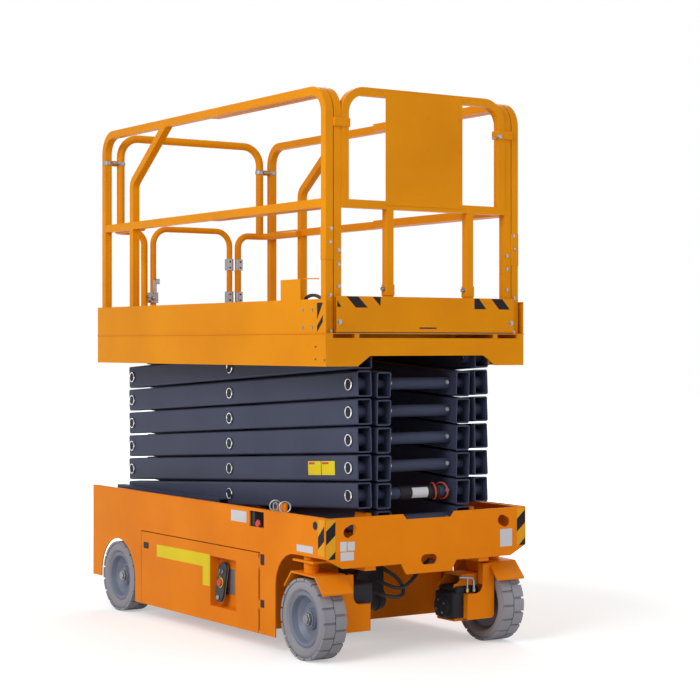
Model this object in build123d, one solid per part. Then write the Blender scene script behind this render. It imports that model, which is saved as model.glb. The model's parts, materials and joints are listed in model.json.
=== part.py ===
"""Six-stage electric scissor lift, standing on its wheels with the platform down.

Millimetres, +Z up, +X forward, +Y to the machine's left. The origin is on the floor under the
middle of the machine. "Behind" lengths are measured back from the chassis front plate.
"""
from build123d import *
import math
import os

os.makedirs("parts", exist_ok=True)

# ---------------------------------------------------------------- driving dimensions
overall_length = 2490
overall_height = 2650
chassis_width = 1166
chassis_top = 671
chassis_bottom = 75
sheet = 6
running_clearance = 0.08
seat_gap = 0.3
body_gap = 5

# step ladder on the rear plate
ladder_depth = 75
ladder_half_width = 205
ladder_strip = 10
ladder_low = 215
ladder_high = 610
tread_pitch = 140
tread_height = 25
treads = 3
chassis_length = overall_length - ladder_depth

# wheels
tyre_diameter = 381
tyre_width = 129
tyre_shoulder = 26
tyre_bevel = 24
rim_diameter = 262
rim_setback = 14
rim_dish_depth = 62
rim_dish_radius = 78
hub_radius = 52
hub_face = 44
wheel_outer_y = 583.5
front_wheel_behind = 200
rear_wheel_behind = chassis_length - 315
stub_axle_diameter = 50
stub_setback = 40

# rear axle brackets
axle_tube_diameter = 84
axle_plate = 14
axle_plate_top_half = 110
axle_plate_low_half = 45

# steering knuckles
kingpin_y = 530
kingpin_diameter = 44
kingpin_housing_diameter = 70
kingpin_housing_low = 425
kingpin_housing_high = 510
kingpin_shelf_low = 455
kingpin_shelf_plate = 10
kingpin_shelf_half = 90
fender_outer_y = 585
fender_inner_y = 420
fender_top = 408
fender_plate = 8
fender_line = ((356, 335), (291, fender_top), (84, fender_top - 6), (13, 325))
motor_box_inner_y = 245
motor_box_half = 70
motor_box_low = 120
motor_box_high = 345
motor_box_back = 20
motor_box_plate = 8
motor_notch = 90
motor_diameter = 118
motor_inner_y = 240

# front plate
front_plate_thickness = 8
corner_drop = 184
corner_chamfer = 95
corner_depth = 48
tab_top_half = 160
tab_bottom_half = 130
tab_bottom = 389
notch_top_half = 150
notch_floor_half = 130
notch_depth = 25
corner_slot = (447, 62.5, 75, 50, 25)
middle_slot = (0, 219.5, 94, 48, 0)

# side panels
flange_width = 30
front_arch_height = 487
front_arch_flat = 270
front_arch_end = 436
rear_arch_gap = 16
knob_window_front = 541
knob_window_rear = 675
knob_window_low = 584
knob_window_high = 660
panel_hole = 14
panel_hole_behind = 85
panel_hole_drop = 31
rear_skirt_low = 170
rear_plate_low_drop = 60

# swing-out tray doors
door_front_behind = 583
door_rear_behind = rear_wheel_behind - 280
door_top = 461
door_edge_gap = 9
door_hinge_pin = 8
door_hinge_barrel = 14
door_hinge_inset = 7
door_hinges = ((392, 438), (198, 232))
ear_plate = 6
ear_reach = 22
recess_front = 805
recess_rear = 1064
recess_low = 154
recess_high = 402
recess_depth = 55
tray_margin = 40
tray_return = 30
battery_drop = 60

# main beams, bulkheads and tracks of the chassis
beam_inner_y = 300
beam_outer_y = 360
beam_low = 420
beam_high = 520
bulkhead_behind = 660
rear_bulkhead_behind = rear_wheel_behind - 238
rear_bulkhead_raise = 40
bulkhead_half_width = 560
cross_members = (330, 1240, chassis_length - 455)
cross_member_half = 30
cross_member_raise = 20
cross_member_drop = 10

# lashing eyes
tie_down_behind = 450
tie_down_inset = 15
tie_down_radius = 24
tie_down_bore = 26
tie_down_plate = 12
rear_tie_down_y = 420
rear_tie_down_z = 520
rear_tie_down_half = 30
rear_tie_down_reach = 45

# scissor stack
stages = 6
front_pin_behind = 112
arm_length = chassis_length - front_pin_behind - 83
level_pitch = 129.5
level_zero = 630
arm_height = 120
arm_width = 80
arm_wall = 6
arm_corner = 10
arm_front_overhang = 70
arm_rear_overhang = 38
outer_arm_y = 300
inner_arm_y = 190
pin_diameter = 50
roller_pin_diameter = 40
boss_diameter = 66
boss_proud = 3
cross_tube_diameter = 56
roller_diameter = 64
roller_width = 30
track_web = 6
track_flange = 7
track_gap = 10
track_front_behind = 1235
track_stand_half = 5
track_stands = (track_front_behind + 20, chassis_length - 615, chassis_length - 40)
pivot_cover = 24
pivot_side = 15
pivot_low = 20
pivot_foot_half = 75
pivot_top_half = 45

# lift cylinder
base_stage = 3
eye_stage = 4
cylinder_base_share = 0.70
cylinder_eye_share = 0.34
cylinder_mounts = ((base_stage, cylinder_base_share, 1), (eye_stage, cylinder_eye_share, -1))
barrel_diameter = 110
barrel_neck = 54
barrel_floor = 120
rod_diameter = 60
rod_start = 125
rod_showing = 100
cylinder_eye_diameter = 84
cylinder_eye_width = 60
cylinder_pin_diameter = 40
cylinder_pin_drop = 32
cylinder_tube_rise = 30
cylinder_tube_back = 50
cylinder_lug_thickness = 14
cylinder_lug_radius = 34

# platform
platform_front_behind = 8
platform_rear_behind = chassis_length - 43
platform_half_width = 575
skirt_low = 1362
skirt_high = 1487
skirt_flange = 45
skirt_lap = 5
apron_low_y = platform_half_width - 175
apron_high_y = platform_half_width - 245
apron_rise = 48
rear_apron_rise = 60
rim_bar = 40
floor_top = 1515
floor_thickness = 4
deck_beam_height = 25
deck_beam_half = 25
deck_beam_first = 330
deck_beam_pitch = 430
deck_beams = 5
platform_lug = 25
platform_lug_low_half = 40
platform_lug_top_half = 70
spine_reach = 240
toe_board_top = 1670
toe_board_sheet = 4
toe_board_lip = 14

# guard rails
rail_tube = 40
rail_bend = 105
bent_post_bend = 60
mid_rail_height = 2110
main_rail_y = platform_half_width - 35
extension_rail_y = main_rail_y - 45
front_frame_y = extension_rail_y - 40
front_frame_behind = 46
front_frame_tube = 38
frame_leg_left = 262
frame_leg_right = -205
front_post_behind = 52
rear_post_behind = platform_rear_behind - 47
bent_post_behind = rear_post_behind - 340
bent_post_kink = 2342
bent_post_top_behind = bent_post_behind - 395
round_tube = 38
corner_bend = 70
wrap_top = 2120
rear_hoop_bend = 110
rear_hoop_tube = 44
rear_hoop_y = main_rail_y - 85
strap_drop = 185
strap_height = 30
strap_half = 5

# gate
gate_leg_y = 250
gate_tube = 34
gate_bend = 90
gate_post_y = 307
gate_top = 2140
gate_lift = 20
gate_board = 6
gate_hinge_pin = 8
gate_hinge_barrel = 17
gate_hinges = ((1715, 1765), (1905, 1955))
gate_ear = 8
gate_latch = (12, 1700, 1740)

# extension deck
extension_length = 1400
extension_floor = 6
extension_half_width = platform_half_width - 60
extension_rail_length = 1110
extension_board_top = 1684
runner_height = 5
runner_width = 40
runner_inset = 10
slide_pad = (10, 90, 15)

# control panel
panel_right = -232
panel_left = 214
panel_sheet = 3
panel_drop = 8
box_depth = 125
box_right = -100
box_left = 120
box_drop = 90
box_share = 0.5
recess_plate_length = 200
recess_plate_width = 90
recess_plate_half = 6
button_diameter = 34
button_rise = 50
button_reach = (34, 10)

# ---------------------------------------------------------------- derived places
x_front = overall_length / 2
half_width = chassis_width / 2
wheel_y = wheel_outer_y - tyre_width / 2
wheel_z = tyre_diameter / 2
rest_angle = math.asin(level_pitch / arm_length)
arm_reach = arm_length * math.cos(rest_angle)
x_front_pin = x_front - front_pin_behind
x_rear_pin = x_front_pin - arm_reach
x_rear_plate = x_front - chassis_length
door_hinge_x = x_front - door_front_behind
door_hinge_y = -half_width + door_hinge_inset
pin_outer_y = outer_arm_y + arm_width + boss_proud
track_inner_y = outer_arm_y + arm_width + track_gap
track_web_y = track_inner_y + roller_width + 2 * body_gap
roller_y = track_inner_y + body_gap
top_level = level_zero + stages * level_pitch
deck_low = floor_top - floor_thickness
rail_centre_top = overall_height - rail_tube / 2
box_height = box_share * (overall_height - box_drop - mid_rail_height)
gate_hinge_y = (gate_leg_y + gate_post_y) / 2
extension_floor_low = floor_top + seat_gap + runner_height
extension_floor_top = extension_floor_low + extension_floor


def behind(distance):
    return x_front - distance


def level(k):
    return level_zero + k * level_pitch


def stage_point(k, share, z_local):
    """Point on inner arm k at rest, share of its length back from its front pin."""
    along = arm_length * (1 - share)
    c = math.cos(rest_angle)
    s = math.sin(rest_angle)
    return (x_rear_pin + along * c + z_local * s, level(k) - along * s + z_local * c)


cylinder_base = stage_point(base_stage, cylinder_base_share, cylinder_pin_drop)
cylinder_eye = stage_point(eye_stage, cylinder_eye_share, -cylinder_pin_drop)
cylinder_rise = cylinder_eye[1] - cylinder_base[1]
cylinder_run = cylinder_eye[0] - cylinder_base[0]
cylinder_span = math.hypot(cylinder_rise, cylinder_run)
cylinder_tilt = math.degrees(math.atan2(cylinder_rise, cylinder_run))


# ---------------------------------------------------------------- helpers
def block(x0, x1, y0, y1, z0, z1):
    size = (abs(x1 - x0), abs(y1 - y0), abs(z1 - z0))
    return Pos((x0 + x1) / 2, (y0 + y1) / 2, (z0 + z1) / 2) * Box(*size)


def bar_y(x, z, y0, y1, diameter):
    return Pos(x, (y0 + y1) / 2, z) * Rot(90, 0, 0) * Cylinder(diameter / 2, abs(y1 - y0))


def bar_z(x, y, z0, z1, diameter):
    return Pos(x, y, (z0 + z1) / 2) * Cylinder(diameter / 2, abs(z1 - z0))


def bar_x(y, z, x0, x1, diameter):
    return Pos((x0 + x1) / 2, y, z) * Rot(0, 90, 0) * Cylinder(diameter / 2, abs(x1 - x0))


def plate_xz(points, y0, y1):
    face = make_face(Polyline(*[(px, 0, pz) for px, pz in points], close=True))
    return Pos(0, min(y0, y1), 0) * extrude(face, amount=abs(y1 - y0), dir=(0, 1, 0))


def plate_yz(points, x0, x1):
    face = make_face(Polyline(*[(0, py, pz) for py, pz in points], close=True))
    return Pos(min(x0, x1), 0, 0) * extrude(face, amount=abs(x1 - x0), dir=(1, 0, 0))


def mirrored(shape):
    return mirror(shape, about=Plane.XZ)


def both_sides(shape):
    return [shape, mirrored(shape)]


def fuse(pieces):
    first = pieces[0]
    rest = pieces[1:]
    return first.fuse(*rest) if rest else first


def square_tube(points, bend, tube=rail_tube):
    path = FilletPolyline(*points, radius=bend) if len(points) > 2 else Line(*points)
    place = Plane(origin=path.position_at(0), z_dir=path.tangent_at(0), x_dir=rail_side(points))
    return sweep(place * Rectangle(tube, tube), path=path)


def rail_side(points):
    first = Vector(*points[0])
    second = Vector(*points[1])
    along = (second - first).normalized()
    if abs(along.Y) > 0.9:
        return (1, 0, 0)
    flat = all(abs(p[0] - points[0][0]) < 0.01 for p in points)
    return (1, 0, 0) if flat else (0, 1, 0)


def round_pipe(points, bend, tube=round_tube):
    path = FilletPolyline(*points, radius=bend) if len(points) > 2 else Line(*points)
    section = Plane(origin=path.position_at(0), z_dir=path.tangent_at(0)) * Circle(tube / 2)
    return sweep(section, path=path)


def export(node, pieces):
    shape = pieces if isinstance(pieces, list) else [pieces]
    solids = []
    for piece in shape:
        solids.extend(piece.solids())
    made = solids[0] if len(solids) == 1 else Compound(children=solids)
    made.label = node
    export_step(made, os.path.join("parts", node + ".step"))


# ---------------------------------------------------------------- chassis
def obround_cut(y, z, length, width, tilt):
    hole = extrude(SlotOverall(length, width), amount=3 * front_plate_thickness, both=True)
    return Pos(x_front, y, z) * Rot(0, 90, 0) * Rot(0, 0, 90 + tilt) * hole


def front_plate():
    low = chassis_top - corner_drop
    base = low - corner_depth
    half = [(0, tab_bottom), (tab_bottom_half, tab_bottom), (tab_top_half, base),
            (half_width - corner_chamfer, base), (half_width, low), (half_width, chassis_top),
            (notch_top_half, chassis_top), (notch_floor_half, chassis_top - notch_depth),
            (0, chassis_top - notch_depth)]
    other = [(-y, z) for y, z in reversed(half[1:-1])]
    plate = plate_yz(half + other, x_front - front_plate_thickness, x_front)
    cuts = []
    for y, drop, length, width, tilt in (corner_slot, middle_slot):
        cuts.append(obround_cut(-y, chassis_top - drop, length, width, tilt))
        cuts.append(obround_cut(y, chassis_top - drop, length, width, -tilt))
    return plate.cut(*cuts)


def side_panel():
    """Right-hand side panel with its arches, the door opening and the top flange."""
    outer = -half_width
    inner = -half_width + sheet
    x_plate = x_front - front_plate_thickness
    panel = block(x_rear_plate, x_plate, outer, inner, chassis_bottom, chassis_top)
    radius = front_arch_end - front_arch_flat
    x_arch = behind(front_arch_flat)
    z_arch = front_arch_height - radius
    arch = block(x_arch, x_front, outer - 1, inner + 1, 0, front_arch_height)
    arch_low = block(behind(front_arch_end), x_front, outer - 1, inner + 1, 0, z_arch)
    arch_round = bar_y(x_arch, z_arch, outer - 1, inner + 1, 2 * radius)
    rear_radius = tyre_diameter / 2 + rear_arch_gap
    rear_arch = bar_y(behind(rear_wheel_behind), wheel_z, outer - 1, inner + 1, 2 * rear_radius)
    rear_low = block(behind(rear_wheel_behind) - rear_radius, behind(rear_wheel_behind) + rear_radius,
                     outer - 1, inner + 1, 0, wheel_z)
    door = block(behind(door_rear_behind) - body_gap, behind(door_front_behind) + body_gap,
                 outer - 1, inner + 1, 0, door_top + body_gap)
    window = block(behind(knob_window_rear), behind(knob_window_front), outer - 1, inner + 1,
                   knob_window_low, knob_window_high)
    round_hole = bar_y(behind(panel_hole_behind), chassis_top - panel_hole_drop, outer - 1, inner + 1,
                       panel_hole)
    rear_skirt = block(x_rear_plate - 1, behind(rear_wheel_behind), outer - 1, inner + 1, 0, rear_skirt_low)
    cuts = [arch, arch_low, arch_round, rear_arch, rear_low, rear_skirt, door, window, round_hole]
    for low, high in door_hinges:
        cuts.append(block(door_hinge_x, door_hinge_x + 2 * body_gap, outer - 1, inner + 1, low - 3, high + 3))
    flange = block(x_rear_plate, x_plate, inner, outer + flange_width, chassis_top - sheet, chassis_top)
    return panel.cut(*cuts).fuse(flange, *door_hinge_ears())


def door_hinge_ears():
    """Ears and pins of the right-hand door's hinges, carried by the panel ahead of the door."""
    pieces = []
    back = -half_width + sheet
    x_end = door_hinge_x + ear_reach
    for low, high in door_hinges:
        for z0, z1 in ((low - 1 - ear_plate, low - 1), (high + 1, high + 1 + ear_plate)):
            pieces.append(bar_z(door_hinge_x, door_hinge_y, z0, z1, door_hinge_barrel))
            pieces.append(block(door_hinge_x, x_end, door_hinge_y, back + sheet, z0, z1))
        pieces.append(block(x_end - sheet - body_gap, x_end, back - 1, back + sheet,
                            low - 1 - ear_plate, high + 1 + ear_plate))
        pieces.append(bar_z(door_hinge_x, door_hinge_y, low - 4, high + 4, door_hinge_pin))
    return pieces


def door_hinge_leaves():
    """Barrels that turn on those pins, with the leaves that join them to the door."""
    pieces = []
    holes = []
    bore = door_hinge_pin + 2 * running_clearance
    x_leaf = door_hinge_x - door_edge_gap - 2
    for low, high in door_hinges:
        pieces.append(bar_z(door_hinge_x, door_hinge_y, low, high, door_hinge_barrel))
        pieces.append(block(x_leaf, door_hinge_x, -half_width, -half_width + sheet, low, high))
        holes.append(bar_z(door_hinge_x, door_hinge_y, low - 1, high + 1, bore))
    return pieces, holes


def chassis_shell():
    y = half_width - sheet
    rear = block(x_rear_plate, x_rear_plate + front_plate_thickness, -y, y,
                 beam_low - rear_plate_low_drop, chassis_top - notch_depth)
    return fuse([front_plate(), side_panel(), mirrored(side_panel()), rear])


def kingpin_housing():
    """Corner shelf with the bearing tube that the right-hand kingpin turns in."""
    x = behind(front_wheel_behind)
    shelf = block(x - kingpin_shelf_half, x + kingpin_shelf_half, -half_width + sheet, -beam_outer_y,
                  kingpin_shelf_low, kingpin_shelf_low + kingpin_shelf_plate)
    tube = bar_z(x, -kingpin_y, kingpin_housing_low, kingpin_housing_high, kingpin_housing_diameter)
    bore = bar_z(x, -kingpin_y, kingpin_housing_low - 1, kingpin_housing_high + 1,
                 kingpin_diameter + 2 * running_clearance)
    return shelf.fuse(tube).cut(bore)


def pivot_bracket():
    """Right-hand bracket that holds the first inner arm's front pin."""
    y0 = -(outer_arm_y + pivot_side)
    y1 = -(inner_arm_y + arm_width + pivot_side)
    z_top = level_zero + pin_diameter / 2 + pivot_cover
    z_foot = beam_high - pivot_low
    outline = [(x_front_pin - pivot_foot_half, z_foot), (x_front_pin + pivot_foot_half, z_foot),
               (x_front_pin + pivot_top_half, z_top), (x_front_pin - pivot_top_half, z_top)]
    plate = plate_xz(outline, y0, y1)
    bore = bar_y(x_front_pin, level_zero, y0 - 1, y1 + 1, pin_diameter + 2 * running_clearance)
    return plate.cut(bore)


def track(z, x_low, x_high):
    """Right-hand channel for a roller whose centre is at height z."""
    y_in = -track_inner_y
    y_out = -track_web_y - track_web
    inside_low = z - roller_diameter / 2 - seat_gap
    inside_high = z + roller_diameter / 2 + seat_gap
    web = block(x_low, x_high, y_out, -track_web_y, inside_low - track_flange, inside_high + track_flange)
    low = block(x_low, x_high, y_out, y_in, inside_low - track_flange, inside_low)
    high = block(x_low, x_high, y_out, y_in, inside_high, inside_high + track_flange)
    return web.fuse(low, high)


def chassis_beams():
    x_low = x_rear_plate + front_plate_thickness
    x_high = x_front - front_plate_thickness
    side = [block(x_low, x_high, -beam_outer_y, -beam_inner_y, beam_low, beam_high),
            pivot_bracket(), kingpin_housing(),
            track(level_zero, x_low, behind(track_front_behind))]
    track_low = level_zero - roller_diameter / 2 - seat_gap - track_flange
    y_out = -track_web_y - track_web
    for station in track_stands:
        x0 = behind(station) - track_stand_half
        x1 = behind(station) + track_stand_half
        side.append(block(x0, x1, y_out, -beam_inner_y, beam_low, beam_high))
        side.append(block(x0, x1, y_out, -track_inner_y, beam_high - 1, track_low + 1))
    pieces = []
    for piece in side:
        pieces.extend(both_sides(piece))
    for station in cross_members:
        x = behind(station)
        pieces.append(block(x - cross_member_half, x + cross_member_half, -beam_inner_y - 1, beam_inner_y + 1,
                            beam_low + cross_member_raise, beam_high - cross_member_drop))
    x = behind(bulkhead_behind)
    pieces.append(block(x - sheet, x, -bulkhead_half_width, bulkhead_half_width, chassis_bottom, beam_high))
    x = behind(rear_bulkhead_behind)
    pieces.append(block(x - sheet, x, -bulkhead_half_width, bulkhead_half_width,
                        chassis_bottom + rear_bulkhead_raise, beam_high))
    return fuse(pieces)


def eye_plate(x, y, z_base, radius, bore, thickness):
    """Upright eye, its bore along Y, standing on z_base."""
    z = z_base + radius
    foot = block(x - radius, x + radius, y - thickness / 2, y + thickness / 2, z_base, z)
    ring = bar_y(x, z, y - thickness / 2, y + thickness / 2, 2 * radius)
    hole = bar_y(x, z, y - thickness, y + thickness, bore)
    return foot.fuse(ring).cut(hole)


def tie_down_eyes():
    front = eye_plate(behind(tie_down_behind), -(half_width - tie_down_inset), chassis_top,
                      tie_down_radius, tie_down_bore, tie_down_plate)
    y0 = -rear_tie_down_y - tie_down_plate / 2
    y1 = -rear_tie_down_y + tie_down_plate / 2
    rear = block(x_rear_plate - rear_tie_down_reach, x_rear_plate, y0, y1,
                 rear_tie_down_z - rear_tie_down_half, rear_tie_down_z + rear_tie_down_half)
    x_eye = x_rear_plate - rear_tie_down_reach / 2
    rear = rear.cut(bar_y(x_eye, rear_tie_down_z, y0 - 1, y1 + 1, tie_down_bore))
    return both_sides(front) + both_sides(rear)


def rear_ladder():
    """Step ladder on the rear plate."""
    pieces = []
    for y in (-ladder_half_width, ladder_half_width - ladder_strip):
        pieces.append(block(-x_front, x_rear_plate, y, y + ladder_strip, ladder_low, ladder_high))
    for step in range(treads):
        z = ladder_low + ladder_strip + step * tread_pitch
        pieces.append(block(-x_front, x_rear_plate - 2, 1 - ladder_half_width, ladder_half_width - 1,
                            z, z + tread_height))
    return fuse(pieces)


def rear_axle():
    """Bracket and stub axle of the right rear wheel, with its hub collar."""
    x = behind(rear_wheel_behind)
    y_plate = -(beam_outer_y + beam_inner_y) / 2
    z_low = wheel_z - axle_plate_low_half
    outline = [(x - axle_plate_top_half, beam_low), (x + axle_plate_top_half, beam_low),
               (x + axle_plate_low_half, z_low), (x - axle_plate_low_half, z_low)]
    plate = plate_xz(outline, y_plate - axle_plate, y_plate)
    tube = bar_y(x, wheel_z, y_plate, -(wheel_outer_y - tyre_width - 12), axle_tube_diameter)
    stub = bar_y(x, wheel_z, y_plate, -(wheel_outer_y - stub_setback), stub_axle_diameter)
    return plate.fuse(tube, stub)


# ---------------------------------------------------------------- wheels
def tyre(x, side):
    half = tyre_width / 2
    crown = tyre_diameter / 2
    seat = rim_diameter / 2
    edge = [(seat, half - rim_setback), (seat + 16, half - 3), (crown - tyre_shoulder, half),
            (crown - 8, half - 9), (crown, half - tyre_bevel)]
    other = [(r, -y) for r, y in reversed(edge)]
    profile = make_face(Polyline(*edge, *other, close=True))
    ring = revolve(Plane.YZ * Rot(0, 0, 90) * profile, axis=Axis.Y)
    return Pos(x, side * wheel_y, wheel_z) * ring


def rim(x, side, bore):
    """Deep-dished rim whose dish opens away from the machine."""
    half = tyre_width / 2
    seat = rim_diameter / 2
    floor = half - rim_dish_depth
    face = half - hub_face
    outer = [(seat, half - rim_setback), (seat - 12, half - 10), (seat - 20, half - rim_setback),
             (seat - 30, half - 40), (rim_dish_radius, floor), (hub_radius, floor), (hub_radius - 6, face), (bore / 2, face)]
    inner = [(bore / 2, -half + 20), (60, -half + 20), (70, -half + 34), (seat - 12, -half + 30),
             (seat, -half + rim_setback)]
    profile = make_face(Polyline(*outer, *inner, close=True))
    disc = revolve(Plane.YZ * Rot(0, 0, 90) * profile, axis=Axis.Y)
    turned = disc if side < 0 else disc.rotate(Axis.Z, 180)
    return Pos(x, side * wheel_y, wheel_z) * turned


def knuckle():
    """Right-hand knuckle: fender with kingpin, motor box and stub axle."""
    x = behind(front_wheel_behind)
    under = fender_top - fender_plate
    above = [(behind(distance), z) for distance, z in fender_line]
    below = [(px + (3 if px < x else -3), pz - fender_plate) for px, pz in reversed(above)]
    fender = plate_xz(above + below, -fender_outer_y, -fender_inner_y)
    pin = bar_z(x, -kingpin_y, under, kingpin_housing_high, kingpin_diameter)
    washer = bar_z(x, -kingpin_y, under, kingpin_housing_low - 1, kingpin_housing_diameter)
    y_back = -fender_inner_y - motor_box_back
    x0 = x - motor_box_half
    x1 = x + motor_box_half
    box = block(x0, x1, y_back, -motor_box_inner_y, motor_box_low, motor_box_high)
    hollow = block(x0 + motor_box_plate, x1 - motor_box_plate, -fender_inner_y - 5, -motor_box_inner_y + 5,
                   motor_box_low + motor_box_plate, motor_box_high - motor_box_plate)
    notch = bar_x(-motor_box_inner_y, motor_box_high, x0 - 1, x1 + 1, motor_notch)
    hanger = block(x0, x1, y_back, -fender_inner_y, motor_box_high - 5, under + 1)
    motor = bar_y(x, wheel_z, -fender_inner_y - 7, -motor_inner_y, motor_diameter)
    shaft = bar_y(x, wheel_z, stub_setback - wheel_outer_y, -fender_inner_y - 6, stub_axle_diameter)
    return box.cut(hollow, notch).fuse(hanger, fender, pin, washer, motor, shaft)


# ---------------------------------------------------------------- scissor stack
def arm_tube(y_low):
    """Hollow arm lying along X, its rear pin at the origin and its front pin at arm_length."""
    span = arm_length + arm_front_overhang + arm_rear_overhang
    section = RectangleRounded(arm_width, arm_height, arm_corner)
    inside = RectangleRounded(arm_width - 2 * arm_wall, arm_height - 2 * arm_wall, arm_corner - arm_wall)
    place = Plane(origin=(-arm_rear_overhang, 0, 0), x_dir=(0, 1, 0), z_dir=(1, 0, 0))
    tube = extrude(place * (section - inside), span)
    return Pos(0, y_low + arm_width / 2, 0) * tube


def placed(shape, k, rising_forward):
    """Puts an arm of stage k in its rest place."""
    tilt = math.degrees(rest_angle)
    if rising_forward:
        return Pos(x_rear_pin, 0, level(k - 1)) * Rot(0, -tilt, 0) * shape
    return Pos(x_rear_pin, 0, level(k)) * Rot(0, tilt, 0) * shape


def outer_arm(k):
    y_low = -(outer_arm_y + arm_width)
    tube = arm_tube(y_low)
    bosses = []
    bores = []
    for x in (0, arm_length / 2, arm_length):
        bosses.append(bar_y(x, 0, y_low - boss_proud, -(inner_arm_y + arm_width) - seat_gap, boss_diameter))
        bores.append(bar_y(x, 0, y_low - 20, -inner_arm_y, pin_diameter + 2 * running_clearance))
    arm = tube.fuse(*bosses)
    if k == 1:
        arm = arm.cut(*bores[1:])
        arm = arm.fuse(bar_y(0, 0, -roller_y - 1, y_low, roller_pin_diameter),
                       bar_y(0, 0, -roller_y - roller_width, -roller_y, roller_diameter))
    else:
        arm = arm.cut(*bores)
    return both_sides(placed(arm, k, True))


def inner_arm(k):
    y_low = -(inner_arm_y + arm_width)
    pieces = [arm_tube(y_low)]
    front_reach = pin_outer_y if k > 1 else outer_arm_y + pivot_side + 3
    rear_reach = pin_outer_y if k < stages else roller_y + 1
    for x, reach in ((0, rear_reach), (arm_length / 2, pin_outer_y), (arm_length, front_reach)):
        pieces.append(bar_y(x, 0, -reach, -inner_arm_y - 2, pin_diameter))
    if k == stages:
        pieces.append(bar_y(0, 0, -roller_y - roller_width, -roller_y, roller_diameter))
    half = fuse(pieces)
    tubes = [bar_y(x, 0, -inner_arm_y - 1, inner_arm_y + 1, cross_tube_diameter) for x in (0, arm_length)]
    lugs = cylinder_lugs(k)
    whole = half.fuse(mirrored(half), *tubes, *lugs[0])
    if lugs[1]:
        whole = whole.cut(*lugs[1])
    return placed(whole, k, False)


def cylinder_lugs(k):
    """Cross tube with a pair of lugs for the lift cylinder, in the arm's own frame."""
    adds = []
    cuts = []
    for stage, share, side in cylinder_mounts:
        if stage != k:
            continue
        x = arm_length * (1 - share)
        x_tube = x - cylinder_tube_back
        z_pin = side * cylinder_pin_drop
        z_tube = -side * cylinder_tube_rise
        adds.append(bar_y(x_tube, z_tube, -inner_arm_y - 1, inner_arm_y + 1, cross_tube_diameter))
        reach = math.hypot(x - x_tube, z_pin - z_tube)
        across_x = -(z_pin - z_tube) / reach
        across_z = (x - x_tube) / reach
        web = []
        ends = ((x_tube, z_tube, cross_tube_diameter / 2 - 2), (x, z_pin, 2 - cylinder_lug_radius))
        for px, pz, half in ends:
            web.append((px + half * across_x, pz + half * across_z))
            web.append((px - half * across_x, pz - half * across_z))
        y_in = cylinder_eye_width / 2 + 1
        y_out = y_in + cylinder_lug_thickness
        for sign in (-1, 1):
            adds.append(plate_xz(web, sign * y_in, sign * y_out))
            adds.append(bar_y(x, z_pin, sign * y_in, sign * y_out, 2 * cylinder_lug_radius))
        if k == base_stage:
            adds.append(bar_y(x, z_pin, -y_out, y_out, cylinder_pin_diameter))
        else:
            cuts.append(bar_y(x, z_pin, -y_out - 1, y_out + 1, cylinder_pin_diameter + 2 * running_clearance))
    return adds, cuts


def lay_cylinder(shape):
    """Puts a piece modelled along X, its base pin at the origin, between the two pins."""
    return Pos(cylinder_base[0], 0, cylinder_base[1]) * Rot(0, -cylinder_tilt, 0) * shape


def lift_barrel():
    barrel_start = cylinder_lug_radius + 20
    barrel_end = cylinder_span - rod_showing
    eye = bar_y(0, 0, -cylinder_eye_width / 2, cylinder_eye_width / 2, cylinder_eye_diameter)
    neck = bar_x(0, 0, cylinder_eye_diameter / 2 - 14, barrel_start + 2, barrel_neck)
    tube = bar_x(0, 0, barrel_start, barrel_end, barrel_diameter)
    bore = bar_y(0, 0, -cylinder_eye_width, cylinder_eye_width, cylinder_pin_diameter + 2 * running_clearance)
    inside = bar_x(0, 0, barrel_floor, barrel_end + 1, rod_diameter + 2 * running_clearance)
    return lay_cylinder(eye.fuse(neck, tube).cut(bore, inside))


def lift_rod():
    rod = bar_x(0, 0, rod_start, cylinder_span - 10, rod_diameter)
    eye = bar_y(cylinder_span, 0, -cylinder_eye_width / 2, cylinder_eye_width / 2, cylinder_eye_diameter)
    return lay_cylinder(rod.fuse(eye))


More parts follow.
